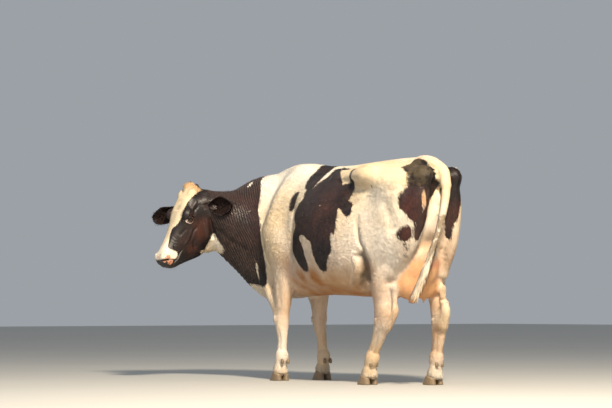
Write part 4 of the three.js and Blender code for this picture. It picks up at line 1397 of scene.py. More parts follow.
# %% Two helpers for materials
def linear(hex_colour):
    channels = [int(hex_colour[i : i + 2], 16) / 255 for i in (1, 3, 5)]
    return (*[c / 12.92 if c <= 0.04045 else ((c + 0.055) / 1.055) ** 2.4 for c in channels], 1.0)


def add(tree, kind, inputs=None, take=0, **settings):
    """One node with its settings and links. It gives back its output `take`."""
    made = tree.nodes.new("ShaderNode" + kind)
    for key, value in settings.items():
        setattr(made, key, value)
    for socket, value in (inputs or {}).items():
        if isinstance(value, bpy.types.NodeSocket):
            tree.links.new(value, made.inputs[socket])
        else:
            made.inputs[socket].default_value = value
    return made.outputs[take]


def new_material(name, values):
    """A material, its tree and its shader, with the values that are the same all over."""
    material = bpy.data.materials.new(name)
    material.use_nodes = True
    surface = material.node_tree.nodes["Principled BSDF"]
    for socket, value in values.items():
        surface.inputs[socket].default_value = value
    return material, material.node_tree, surface


MIX = {"take": 2, "data_type": "RGBA"}
MULTIPLY = {"operation": "MULTIPLY"}
SMOOTH = {"interpolation_type": "SMOOTHSTEP"}
NOISE_MM = 500.0  # a noise of this scale has blotches about 1 mm across

# %% [markdown]
# Cow hair is short, fine and a little oily, so it lies flat and shines softly along its length.
# White hair is never pure white: it is cream, warmer below where the animal lies, and that warmth
# under the belly is partly painted shade. Black hair bleaches to red-brown in the sun. The same
# colours go on the skin, whose edge between black and white is broken by noise, and on the hairs,
# where each whole hair is one or the other. They could be painted on an image, but noise in real
# millimetres stays sharp at any distance.

# %% The colours that skin and hair share
WHITE_HAIR, GREY_WHITE, CREAM_HAIR, POLL_HAIR = "#f1e9db", "#d3cdc2", "#e9d3ae", "#c79a66"
BLACK_HAIR, SOFT_BLACK, RUSSET_HAIR, PLEAT_DUST_AND_SHEEN = "#170f0f", "#2e1e1b", "#5c2c1c", "#5b4741"
BARE_SKIN, BARE_SKIN_DEEP, BARE_SKIN_RED = "#d7a674", "#c28655", "#bf785a"
WARM_STAIN_AND_SHADE, MUD_ON_WHITE, MUD_ON_BLACK, INNER_EAR = "#b07232", "#6e5532", "#574a34", "#2e1d18"
# The colour of the painted shade in deep folds and creases.
PAINTED_FOLD_SHADE = "#35281a"
COAT_MARKS = ("dark", "warm", "dirt", "russet", "bare", "fold", "tan", "pleat", "inner_ear")


def read_marks(tree, words):
    return {word: add(tree, "Attribute", take="Fac", attribute_name=word) for word in words}


def coat_colour(tree, ragged):
    marks = read_marks(tree, COAT_MARKS)
    place = add(tree, "TexCoord", take="Object")
    broad = add(tree, "TexNoise", {"Vector": place, "Scale": NOISE_MM / 260, "Detail": 4})
    fine = add(tree, "TexNoise", {"Vector": place, "Scale": NOISE_MM / 22, "Detail": 5})
    patchy = add(tree, "TexNoise", {"Vector": place, "Scale": NOISE_MM / 60, "Detail": 5})
    lying = add(tree, "VectorMath", {0: place, 1: (0.35, 1.0, 0.6)}, **MULTIPLY)
    locks = add(tree, "TexNoise", {"Vector": lying, "Scale": NOISE_MM / 34, "Detail": 4})

    # Mud dries in crusts about 22 mm across where there is any at all.
    crumbs = add(tree, "TexNoise", {"Vector": place, "Scale": NOISE_MM / 22, "Detail": 7})
    crust = add(tree, "Math", {0: crumbs, 1: marks["dirt"]}, operation="ADD")
    crust = add(tree, "MapRange", {0: crust, 1: 1.04, 2: 1.2, 4: 0.75}, **SMOOTH)

    creamy = add(tree, "MapRange", {0: broad, 1: 0.35, 2: 0.65}, **SMOOTH)
    greyed = add(tree, "MapRange", {0: fine, 1: 0.45, 2: 0.8, 4: 0.25}, **SMOOTH)
    # Warm stains, which under the belly are partly painted shade.
    stain_and_shade = add(tree, "MapRange", {0: patchy, 1: 0.2, 2: 0.8, 3: 0.55, 4: 1.15})
    stain_and_shade = add(tree, "Math", {0: marks["warm"], 1: stain_and_shade}, use_clamp=True, **MULTIPLY)
    white = linear(WHITE_HAIR)
    for share, over in (
        (creamy, CREAM_HAIR), (greyed, GREY_WHITE), (stain_and_shade, WARM_STAIN_AND_SHADE),
        (marks["tan"], POLL_HAIR), (crust, MUD_ON_WHITE),
    ):
        white = add(tree, "Mix", {0: share, 6: white, 7: linear(over)}, **MIX)

    brown = add(tree, "MapRange", {0: locks, 1: 0.42, 2: 0.72}, **SMOOTH)
    red = add(tree, "MapRange", {0: locks, 1: 0.3, 2: 0.7, 3: 0.25, 4: 1.2})
    red = add(tree, "Math", {0: marks["russet"], 1: red}, use_clamp=True, **MULTIPLY)
    # On the black the pleat tops get their dust and painted sheen.
    black = linear(BLACK_HAIR)
    for share, over in (
        (brown, SOFT_BLACK), (red, RUSSET_HAIR), (marks["pleat"], PLEAT_DUST_AND_SHEEN), (crust, MUD_ON_BLACK),
    ):
        black = add(tree, "Mix", {0: share, 6: black, 7: linear(over)}, **MIX)

    inside = marks["dark"]
    if ragged:
        edge = add(tree, "TexNoise", {"Vector": place, "Scale": NOISE_MM / 14, "Detail": 4})
        edge = add(tree, "MapRange", {0: edge, 3: -6.0, 4: 6.0})
        inside = add(tree, "Math", {0: inside, 1: edge}, operation="ADD")
    is_black = add(tree, "MapRange", {0: inside, 1: -1.2, 2: 1.2}, **SMOOTH)
    colour = add(tree, "Mix", {0: is_black, 6: white, 7: black}, **MIX)

    flushed = add(tree, "MapRange", {0: patchy, 1: 0.45, 2: 0.75}, **SMOOTH)
    bare = add(tree, "Mix", {0: fine, 6: linear(BARE_SKIN), 7: linear(BARE_SKIN_DEEP)}, **MIX)
    bare = add(tree, "Mix", {0: flushed, 6: bare, 7: linear(BARE_SKIN_RED)}, **MIX)
    share = add(tree, "Math", {0: marks["bare"], 1: 0.92}, **MULTIPLY)
    colour = add(tree, "Mix", {0: share, 6: colour, 7: bare}, **MIX)
    # Deep folds and creases are painted darker: painted shade.
    share = add(tree, "Math", {0: marks["fold"], 1: 0.75}, **MULTIPLY)
    colour = add(tree, "Mix", {0: share, 6: colour, 7: linear(PAINTED_FOLD_SHADE)}, **MIX)
    colour = add(tree, "Mix", {0: marks["inner_ear"], 6: colour, 7: linear(INNER_EAR)}, **MIX)
    matt = add(tree, "Math", {0: marks["inner_ear"], 1: 0.4}, **MULTIPLY)
    matt = add(tree, "Math", {0: crust, 1: 0.35, 2: matt}, operation="MULTIPLY_ADD")
    return colour, is_black, matt, place


# %% [markdown]
# The hide is skin with short hair lying flat on it. It isn't metal; its IOR is near 1.45, and it is
# rough, since every hair turns the light its own way. Black hair is oilier and shines more. The
# nose pad is bare and wet, so it is the smoothest skin of all, and the udder is bare and warm.

# %% The skin under the hair
LID_SKIN, NOSE_PINK, NOSE_ORANGE = "#dac4b6", "#d49a86", "#b9764a"
# The last colour is the painted shade of the eye socket and the nostril pits.
NOSE_BLACK, PAINTED_PIT_SHADE = "#15100f", "#0d0807"
hide = {"IOR": 1.45, "Sheen Weight": 0.06, "Sheen Roughness": 0.5}
skin_material, tree, surface = new_material("cow hide with flat hair", hide)
colour, is_black, matt, place = coat_colour(tree, True)
marks_here = read_marks(tree, ("lid", "nose", "pad", "socket"))
# Bare skin round the eye and the nostril is mottled, pale where it has no pigment.
mottle = add(tree, "TexNoise", {"Vector": place, "Scale": NOISE_MM / 9, "Detail": 3})
lid = add(tree, "Math", {0: mottle, 1: marks_here["lid"]}, operation="ADD")
lid = add(tree, "MapRange", {0: lid, 1: 1.08, 2: 1.3, 4: 0.9}, **SMOOTH)
colour = add(tree, "Mix", {0: lid, 6: colour, 7: linear(LID_SKIN)}, **MIX)
colour = add(tree, "Mix", {0: marks_here["pad"], 6: colour, 7: linear(NOSE_BLACK)}, **MIX)
blotch = add(tree, "TexNoise", {"Vector": place, "Scale": NOISE_MM / 13, "Detail": 3})
pink = add(tree, "Math", {0: blotch, 1: marks_here["nose"]}, operation="ADD")
pink = add(tree, "MapRange", {0: pink, 1: 1.1, 2: 1.24, 4: 0.9}, **SMOOTH)
warmth = add(tree, "MapRange", {0: mottle, 1: 0.4, 2: 0.62}, **SMOOTH)
bare_nose = add(tree, "Mix", {0: warmth, 6: linear(NOSE_PINK), 7: linear(NOSE_ORANGE)}, **MIX)
colour = add(tree, "Mix", {0: pink, 6: colour, 7: bare_nose}, **MIX)
specks = add(tree, "TexNoise", {"Vector": place, "Scale": NOISE_MM / 5, "Detail": 2})
specks = add(tree, "MapRange", {0: specks, 1: 0.58, 2: 0.66, 4: 0.85}, **SMOOTH)
specks = add(tree, "Math", {0: specks, 1: marks_here["nose"]}, **MULTIPLY)
colour = add(tree, "Mix", {0: specks, 6: colour, 7: linear(NOSE_BLACK)}, **MIX)
# Painted shade in the eye socket and the nostril pits.
colour = add(tree, "Mix", {0: marks_here["socket"], 6: colour, 7: linear(PAINTED_PIT_SHADE)}, **MIX)
tree.links.new(colour, surface.inputs["Base Color"])
wet = add(tree, "Math", {0: marks_here["pad"], 1: -0.22, 2: matt}, operation="MULTIPLY_ADD")
gloss = add(tree, "MapRange", {0: is_black, 3: 0.68, 4: 0.46})
tree.links.new(add(tree, "Math", {0: gloss, 1: wet}, operation="ADD"), surface.inputs["Roughness"])

# Hairs are 0.05 mm thick; here they are drawn in streaks 7 mm wide and three times as long, which
# is as fine as still shows from a few metres. The nose pad is pebbled in grains of 5 mm.
lying = add(tree, "VectorMath", {0: place, 1: (0.3, 1.0, 1.0)}, **MULTIPLY)
streaks = add(tree, "TexNoise", {"Vector": lying, "Scale": NOISE_MM / 7, "Detail": 4})
pebbles = add(tree, "TexVoronoi", {"Vector": place, "Scale": 1000 / 5.0}, take="Distance")
pebbles = add(tree, "Math", {0: pebbles, 1: marks_here["pad"]}, **MULTIPLY)
height = add(tree, "Math", {0: pebbles, 1: 1.2, 2: streaks}, operation="MULTIPLY_ADD")
bump = add(tree, "Bump", {"Strength": 0.4, "Distance": 0.0018, "Height": height})
tree.links.new(bump, surface.inputs["Normal"])
skin_object.data.materials.append(skin_material)

# %% [markdown]
# A hair is a rod of clear horny keratin, IOR near 1.5, coloured from within. A tuft stands for a
# score of hairs, so each has its own shade: some are a little deeper, and some are painted
# lighter, a painted glint as if they caught the light.

# %% Hair that stands as tufts
STRAW_HAIR = "#a9794c"
DEEPER, GLINT = (0.84, 0.76, 0.64, 1), (0.9, 0.84, 0.78, 1)  # factors, not colours of hair


def hair_material(name, roughness):
    material, tree, surface = new_material(name, {"IOR": 1.5, "Sheen Weight": 0.05})
    colour, is_black, matt, _ = coat_colour(tree, False)
    marks = read_marks(tree, ("shade", "straw"))
    deep = add(tree, "MapRange", {0: marks["shade"], 1: 0.0, 2: 2.2}, **SMOOTH)
    colour = add(tree, "Mix", {0: deep, 6: colour, 7: DEEPER}, blend_type="MULTIPLY", **MIX)
    glint = add(tree, "MapRange", {0: marks["shade"], 1: 0.0, 2: -2.2, 4: 0.035}, **SMOOTH)
    colour = add(tree, "Mix", {0: glint, 6: colour, 7: GLINT}, blend_type="SCREEN", **MIX)
    colour = add(tree, "Mix", {0: marks["straw"], 6: colour, 7: linear(STRAW_HAIR)}, **MIX)
    tree.links.new(colour, surface.inputs["Base Color"])
    gloss = add(tree, "MapRange", {0: is_black, 3: roughness + 0.1, 4: roughness - 0.18})
    gloss = add(tree, "Math", {0: gloss, 1: matt}, operation="ADD")
    tree.links.new(gloss, surface.inputs["Roughness"])
    return material


short_hair = hair_material("short cow hair", 0.56)
long_hair = hair_material("long cow hair", 0.6)

# %% [markdown]
# ## Eyes
#
# The eyeball is a globe with a slightly steeper cornea. A cow's iris is dark brown and fills
# nearly all that the lids leave open, and her pupil is a long lying oval. The tear film has the
# cornea's IOR, 1.376, and is nearly mirror smooth, so a small bright lamp shows in it. Iris and
# pupil are drawn by how far round the globe a place is, which keeps them sharp at any size.

# %% Iris, pupil and tear film
wet_eye = {"Roughness": 0.06, "IOR": 1.376, "Coat Weight": 0.6, "Coat Roughness": 0.03}
eye_material, tree, surface = new_material("wet eyeball", wet_eye)
PUPIL_WIDE, PUPIL_HIGH = 0.44, 0.24  # of the eyeball's radius
IRIS_DARK, IRIS_LIGHT, WHITE_OF_EYE, PUPIL = "#22110a", "#3d2213", "#7d6a5e", "#07080b"
marks_here = read_marks(tree, ("across", "upright"))
off_axis = add(tree, "CombineXYZ", {0: marks_here["across"], 1: marks_here["upright"], 2: 0.0})
iris_far = add(tree, "VectorMath", {0: off_axis}, take="Value", operation="LENGTH")
oval = add(tree, "VectorMath", {0: off_axis, 1: (1 / PUPIL_WIDE, 1 / PUPIL_HIGH, 1)}, **MULTIPLY)
pupil_far = add(tree, "VectorMath", {0: oval}, take="Value", operation="LENGTH")
place = add(tree, "TexCoord", take="Object")
threads = add(tree, "TexNoise", {"Vector": place, "Scale": NOISE_MM / 1.5, "Detail": 4})
iris = add(tree, "Mix", {0: threads, 6: linear(IRIS_DARK), 7: linear(IRIS_LIGHT)}, **MIX)
beyond = add(tree, "MapRange", {0: iris_far, 1: 0.74, 2: 0.84}, **SMOOTH)
ball = add(tree, "Mix", {0: beyond, 6: iris, 7: linear(WHITE_OF_EYE)}, **MIX)
within = add(tree, "MapRange", {0: pupil_far, 1: 1.08, 2: 0.9}, **SMOOTH)
ball = add(tree, "Mix", {0: within, 6: ball, 7: linear(PUPIL)}, **MIX)
tree.links.new(ball, surface.inputs["Base Color"])


def new_piece(name, corners, faces, material):
    mesh = bpy.data.meshes.new(name)
    mesh.from_pydata(to_frame(corners).tolist(), [], faces)
    mesh.polygons.foreach_set("use_smooth", [True] * len(mesh.polygons))
    mesh.materials.append(material)
    piece = put_in_scene(name, mesh)
    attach(piece, "root")
    return piece


# %% Eyeballs behind the lids
EYE_ROUND, EYE_LONG = 48, 40  # corners round the eyeball, and rings from front to back
WHITE_SUNK, CORNEA_RISE, CORNEA_ANGLE = 1.4, 1.2, 0.62
for side, word in ((1, "left"), (-1, "right")):
    directions = eye_frame(side)
    rings, local = [], []
    for angle in np.linspace(0.02, math.pi - 0.02, EYE_LONG):
        turn = np.linspace(0, 2 * math.pi, EYE_ROUND, endpoint=False)
        ahead = np.full(EYE_ROUND, math.cos(angle))
        way = np.stack([np.sin(angle) * np.cos(turn), np.sin(angle) * np.sin(turn), ahead], 1)
        radius = EYE_RADIUS - WHITE_SUNK + CORNEA_RISE * math.exp(-((angle / CORNEA_ANGLE) ** 4))
        rings.append(EYES[side] + way @ directions * radius)
        local.append(way)
    corners, faces = loft(rings)
    local = np.vstack(local + [[[0, 0, 1], [0, 0, -1]]])
    eyeball = new_piece("eyeball_" + word, corners, faces, eye_material)
    give_marks(eyeball.data, {"across": local[:, 0], "upright": local[:, 1]})
    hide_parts("eye_" + word)
    print("eyeball_" + word, "at", EYES[side].round())

# %% [markdown]
# ## Hooves
#
# A claw is a box of horn that grows down from the coronet, so it is ringed like a fingernail,
# steeper in front, and worn flat and pale-edged at the sole. Behind and above are two dewclaws.
# Horn is keratin too, IOR 1.54, half polished by grass. Its rings are both in the shape, which
# swells and narrows, and in the colour.

# %% Horn
horn_material, tree, surface = new_material("hoof horn", {"IOR": 1.54})
place = add(tree, "TexCoord", take="Object")
grown = read_marks(tree, ["grown"])["grown"]
HORN_DARK, HORN_PALE, HORN_RING = "#6a5845", "#988263", "#43362c"
HORN_WORN, HORN_YOUNG = "#7f7058", "#b59b7c"
upright = add(tree, "VectorMath", {0: place, 1: (1.0, 1.0, 0.12)}, **MULTIPLY)
grain = add(tree, "TexNoise", {"Vector": upright, "Scale": NOISE_MM / 5, "Detail": 5})
RINGS = 46.0  # radians from sole to coronet, so a ring about every 9 mm
ring = add(tree, "Math", {0: add(tree, "Math", {0: grown, 1: RINGS}, **MULTIPLY)}, operation="SINE")
ring = add(tree, "MapRange", {0: ring, 1: 0.2, 2: 1.0, 4: 0.35}, **SMOOTH)
worn = add(tree, "MapRange", {0: grown, 1: 0.16, 2: 0.0}, **SMOOTH)
young = add(tree, "MapRange", {0: grown, 1: 0.82, 2: 1.0, 4: 0.5}, **SMOOTH)
horn = linear(HORN_DARK)
for share, over in ((grain, HORN_PALE), (ring, HORN_RING), (worn, HORN_WORN), (young, HORN_YOUNG)):
    horn = add(tree, "Mix", {0: share, 6: horn, 7: linear(over)}, **MIX)
tree.links.new(horn, surface.inputs["Base Color"])
rough = add(tree, "MapRange", {0: grain, 3: 0.38, 4: 0.6})
tree.links.new(rough, surface.inputs["Roughness"])
bump = add(tree, "Bump", {"Strength": 0.4, "Distance": 0.001, "Height": grain})
tree.links.new(bump, surface.inputs["Normal"])

# %% Claws and dewclaws
SOLE_TOE, SOLE_HEEL, CLAW_HALF_WIDTH, CLEFT, SEAM = 70, 54, 27, 5, 0.35


def claw(foot, outer, around=40):
    side, _, forward, out = foot
    levels = np.concatenate([[0, 0.015, 0.04, 0.08], np.linspace(0.14, 1, 22)])
    rings = []
    turn = np.linspace(0, 2 * math.pi, around, endpoint=False)
    along, sideways = np.cos(turn), np.sin(turn)
    inner = sideways * outer < 0
    for level in levels:
        worn_edge = 3.2 * (1 - ramp(np.array(level), 0, 0.08))
        tuck = worn_edge + 0.5 + 0.45 * math.sin(level * RINGS + 1.5)
        toe = SOLE_TOE - 48 * level - tuck
        heel = SOLE_HEEL - 10 * level - tuck
        half = (CLAW_HALF_WIDTH - tuck) * np.where(inner, 0.86, 1) * (1 - 0.06 * level)
        reach = np.where(along > 0, np.abs(along) ** 1.1 * toe, -(np.abs(along) ** 0.8) * heel)
        narrow = np.where(along > 0, 1 - 0.25 * along, 1)
        height = level * (CORONET_HEIGHT - SEAM + CORONET_SLOPE * (reach - 4))
        across = (CLEFT + CLAW_HALF_WIDTH * 0.93) * outer + sideways * half * narrow
        rings.append(np.stack([forward + reach - 4, out * side + across, height], 1))
    corners, faces = loft(rings)
    return corners, faces, np.append(np.repeat(levels, around), [0, 1])


def dewclaw(foot, outer, around=24):
    side, _, forward, out = foot
    centre = np.array([forward - 62, out * side + 24 * outer, 132.0])
    turn = np.linspace(0, 2 * math.pi, around, endpoint=False)
    rings, levels = [], np.linspace(-1, 1, 18)
    for level in levels:
        wide = math.sqrt(max(1 - level * level, 0.0)) ** 0.8 * (1 - 0.12 * level) * 0.96 + 0.01
        grow = 1 + 0.02 * math.sin(level * 20)
        rings.append(centre + np.stack([
            np.cos(turn) * 12 * wide * grow - 2.0 * (1 - level), np.sin(turn) * 11.4 * wide * grow,
            np.full(around, level * 19.0),
        ], 1))
    corners, faces = loft(rings)
    return corners, faces, np.append(np.repeat(levels * 0.5 + 0.5, around), [0, 1])


# %% Horn on every foot
for name, foot in FEET.items():
    corners, faces, grown_up = [], [], []
    for make in (claw, dewclaw):
        for outer in (1, -1):
            start = sum(len(c) for c in corners)
            more, its_faces, levels = make(foot, outer)
            corners.append(more)
            faces += [tuple(start + i for i in face) for face in its_faces]
            grown_up.append(levels)
    horn_piece = new_piece("hooves_" + name, np.vstack(corners), faces, horn_material)
    give_marks(horn_piece.data, {"grown": np.concatenate(grown_up)})
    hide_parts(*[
        f"{name}_{kind}_{place}" for kind in ("claw", "dewclaw") for place in ("outer", "inner")
    ])
    print("horn of", name, "faces:", len(faces))

# %% [markdown]
# ## The coat
#
# A cow in summer has hair 10 to 25 mm long that lies flat. The flat hair is in the skin's bump;
# over it lie thin tufts, each a slip with a ridge and a point, that break the outline and run the
# way the hair grows: back and down over the trunk, down the legs, out from a whorl on the
# forehead. Hair curves would be finer, but they aren't a mesh that others can reuse, so a tuft is
# four triangles. The skin's normals are given to them, so light glides over them as over one coat.


# %% Which way the hair lies
def tangent(direction, normals):
    flat = direction - normals * (direction * normals).sum(1)[:, None]
    return flat / np.maximum(np.linalg.norm(flat, axis=1), 1e-6)[:, None]


WHORL = 165  # along the face, between the eyes


def lie_of_hair(points, normals):
    f, l, u = points.T
    way = np.stack([np.full(len(f), -1.0), 0.0 * f, -0.45 + 0.0 * f], 1)
    down = np.array([-0.12, 0, -1.0])
    leg = ramp(u, 860, 640) * (normals[:, 2] > -0.75) * ramp(np.abs(l), 60, 110)
    way += leg[:, None] * (down - way)
    thigh = ramp(f, -330, -520) * ramp(u, 1330, 1180)
    way += thigh[:, None] * 0.8 * (np.array([-0.35, 0, -1.0]) - way)
    on_neck = ramp(neck(points), 60, 10) * ramp(f, 780, 900)
    way += on_neck[:, None] * (np.array([-0.55, -0.45, -0.75]) - way)
    along, left, out = head_terms(points).T
    on_head_share = ramp(skull(points), 50, 20)
    spread = np.clip((along - WHORL) / 60, -1, 1)[:, None] * NOSE
    spread = spread + (0.5 * np.tanh(left / 50) * ramp(along, 420, 200))[:, None] * HEAD_SIDE
    cheek_share = ramp(out, -60, -140)[:, None]
    spread = spread * (1 - cheek_share) + cheek_share * (-0.3 * NOSE - 0.9 * BROW)
    way += on_head_share[:, None] * (spread - way)
    on_tail = ramp(tail(points), 14, 4) * (f < -700)
    way += on_tail[:, None] * (np.stack([0.1 + 0 * f, 0.25 + 0 * f, -1.0 + 0 * f], 1) - way)
    return tangent(way, normals)


# %% Roots scattered over the skin
skin_mesh.calc_loop_triangles()
triangles = np.empty(len(skin_mesh.loop_triangles) * 3, int)
skin_mesh.loop_triangles.foreach_get("vertices", triangles)
triangles = triangles.reshape(-1, 3)
vertex_normals = np.empty(len(all_points) * 3, np.float32)
skin_mesh.vertices.foreach_get("normal", vertex_normals)
vertex_normals = vertex_normals.reshape(-1, 3).astype(float) * TURN
edge_a = all_points[triangles[:, 1]] - all_points[triangles[:, 0]]
edge_b = all_points[triangles[:, 2]] - all_points[triangles[:, 0]]
areas = np.linalg.norm(np.cross(edge_a, edge_b), axis=1) / 2
of_ear = triangles[:, 0] >= len(skin_points)
print("skin area:", (areas.sum() / 1e6).round(2), "m2")


def scatter(weights, count):
    weights = weights * areas
    picks = rng.choice(len(triangles), count, p=weights / weights.sum())
    a, b = rng.random(count), rng.random(count)
    over = a + b > 1
    a[over], b[over] = 1 - a[over], 1 - b[over]
    shares = np.stack([1 - a - b, a, b], 1)

    def carried(values):
        corner_values = values[triangles[picks]]
        if corner_values.ndim == 3:
            return (corner_values * shares[:, :, None]).sum(1)
        return (corner_values * shares).sum(1)

    roots = {word: carried(values) for word, values in marks.items()}
    roots["point"] = carried(all_points)
    normals = carried(vertex_normals)
    roots["normal"] = normals / np.linalg.norm(normals, axis=1)[:, None]
    return roots


# %% Where each region of the coat begins
middles = all_points[triangles].mean(1)
middle_normals = vertex_normals[triangles].mean(1)
f, l, u = middles.T
triangle_marks = {word: values[triangles].mean(1) for word, values in marks.items()}
head_here = (skull(middles) < 32) & ~of_ear
for side in (1, -1):
    head_here |= (np.linalg.norm(middles - on_head(*EAR_ROOT[side]), axis=1) < 56) & ~of_ear
tail_here = (tail(middles) < 7) & ((f < -800) | (u < 1100)) & (f < -600) & ~head_here
neck_here = (f > 800) & (u > 560) & ~head_here & ~of_ear
legs_here = (u < 640) & (np.abs(l) > 75) & ~((f < 420) & (f > -200) & (u > 560)) & ~tail_here
legs_here &= triangle_marks["bare"] < 0.5
rump_here = (f < -330) & ~legs_here & ~tail_here
trunk_here = ~(head_here | neck_here | legs_here | tail_here | rump_here | of_ear)
hairless = np.maximum.reduce([
    triangle_marks["bare"] * 0.93, triangle_marks["nose"], triangle_marks["pad"],
    ramp(triangle_marks["lid"], 0.3, 0.8), triangle_marks["socket"],
])
REGIONS = {
    # triangles of the skin, number of tufts, length and width in mm, how far the tips stand off
    "coat_trunk_left": (trunk_here & (l > 0), 40000, 24, 3.0, 0.07),
    "coat_trunk_right": (trunk_here & (l <= 0), 40000, 24, 3.0, 0.07),
    "coat_rump_left": (rump_here & (l > 0), 26000, 23, 2.9, 0.08),
    "coat_rump_right": (rump_here & (l <= 0), 26000, 23, 2.9, 0.08),
    "coat_neck": (neck_here, 40000, 22, 2.6, 0.08),
    "coat_forelegs": (legs_here & (f > 100), 24000, 16, 2.2, 0.09),
    "coat_hindlegs": (legs_here & (f <= 100), 28000, 17, 2.3, 0.09),
    "coat_head": (head_here, 44000, 11, 1.5, 0.10),
    "coat_tail": (tail_here, 12000, 22, 2.2, 0.10),
    "coat_ears": (of_ear, 12000, 14, 1.8, 0.14),
}
print("tufts to come:", sum(row[1] for row in REGIONS.values()))

# %% [markdown]
# Each tuft's colour will be baked into a small patch of a map. The map is an unwrap of the skin's
# own shape, round and along each region, and a tuft's patch lies at its root's place on it.

# %% The unwrap under each region
PATCH = 0.003  # side of a tuft's patch, as a share of the map


def round_bone(f, l, u, bones):
    """The angle round a bone, at each point's own height; `bones` are places, lowest first."""
    bone_f, bone_l = (np.interp(u, bones[:, 2], bones[:, k]) for k in (0, 1))
    return np.arctan2(l - bone_l, f - bone_f)


def unwrap(region, points):
    f, l, u = points.T
    if region == "coat_head":
        along, left, out = head_terms(points).T
        flat = np.stack([along, np.arctan2(left, out + 130)], 1)
    elif region == "coat_ears":
        along, left, out = head_terms(points).T
        flat = np.stack([np.abs(left) + 300 * (left > 0), along + 0.4 * out], 1)
    elif region in ("coat_forelegs", "coat_hindlegs"):
        flat = np.zeros((len(f), 2))
        for name, (side, _, _, _) in FEET.items():
            if name.startswith("fore") == (region == "coat_forelegs"):
                mine = (l > 0) == (side > 0)
                bones = np.array([on_leg(name, up, 0, 0) for up in np.linspace(40, 640, 13)])
                angle = round_bone(f[mine], l[mine], u[mine], bones)
                flat[mine] = np.stack([angle + 7 * (side > 0), u[mine]], 1)  # left beside right
    elif region == "coat_tail":
        bones = curve_through([c for c, _, _ in TAIL[3:]], np.linspace(0, len(TAIL) - 4, 40))[::-1]
        flat = np.stack([round_bone(f, l, u, bones), u], 1)
    elif region == "coat_neck":
        centre_l = np.clip((f - 800) * 0.75, 0, 330)
        centre_f = np.clip(f, 0, 1150)
        angle = np.arctan2((l - centre_l) - (f - centre_f) * 0.4, u - 1040)
        flat = np.stack([angle, f + 0.6 * l], 1)
    else:
        flat = np.stack([f, np.arctan2(l, u - BODY_AXIS)], 1)
    low, high = flat.min(0), flat.max(0)
    return 0.01 + 0.98 * (flat - low) / (high - low)


# %% Tufts as one mesh
def tuft_mesh(name, rings, tips, places, marks_of_tufts, normals, sideways, material):
    """Each tuft: rings of three corners, shaped (tufts, rings, 3, 3), and one tip."""
    count, lengths = rings.shape[:2]
    corners = np.concatenate([rings.reshape(count, -1, 3), tips[:, None]], 1)
    each = corners.shape[1]
    pattern = [(0, 2, 1)]
    for k in range(lengths - 1):
        for a, b in ((0, 1), (1, 2), (2, 0)):
            pattern += [(3 * k + a, 3 * k + b, 3 * k + 3 + b), (3 * k + a, 3 * k + 3 + b, 3 * k + 3 + a)]
    last = 3 * (lengths - 1)
    pattern += [(last + a, last + b, each - 1) for a, b in ((0, 1), (1, 2), (2, 0))]
    pattern = np.array(pattern)
    faces = (np.arange(count)[:, None, None] * each + pattern).reshape(-1, 3)
    mesh = bpy.data.meshes.new(name)
    mesh.vertices.add(count * each)
    mesh.vertices.foreach_set("co", to_frame(corners.reshape(-1, 3)).ravel())
    mesh.loops.add(faces.size)
    mesh.loops.foreach_set("vertex_index", faces.ravel())
    mesh.polygons.add(len(faces))
    mesh.polygons.foreach_set("loop_start", np.arange(0, faces.size, 3))
    mesh.update(calc_edges=True)
    mesh.polygons.foreach_set("use_smooth", [True] * len(faces))
    give_marks(mesh, {word: np.repeat(values, each) for word, values in marks_of_tufts.items()})
    way = np.linspace(-PATCH / 2, PATCH / 2, each)
    lean = np.where(np.arange(each) % 2, PATCH / 2, -PATCH / 2)
    flat = (places[:, None] + np.stack([way, lean], 1)).reshape(-1, 2)
    uv = mesh.uv_layers.new(name="OFBake")
    uv.data.foreach_set("uv", flat[faces.ravel()].astype(np.float32).ravel())
    lit = normals[:, None] + 0.35 * sideways[:, None] * np.resize([-1, 1, 0], each)[None, :, None]
    lit = (lit * TURN).reshape(-1, 3)
    lit /= np.linalg.norm(lit, axis=1)[:, None]
    mesh.normals_split_custom_set_from_vertices(lit.astype(np.float32))
    mesh.materials.append(material)
    piece = put_in_scene(name, mesh)
    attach(piece, "root")
    return len(faces)


# %% Short tufts over the whole animal
DARK_JITTER = 3.0  # mm, how far a patch's edge is ragged from hair to hair
TUFT_MARKS = (*COAT_MARKS, "shade", "straw")
ROOT_SUNK = 0.5  # mm, how deep a root is set in the skin


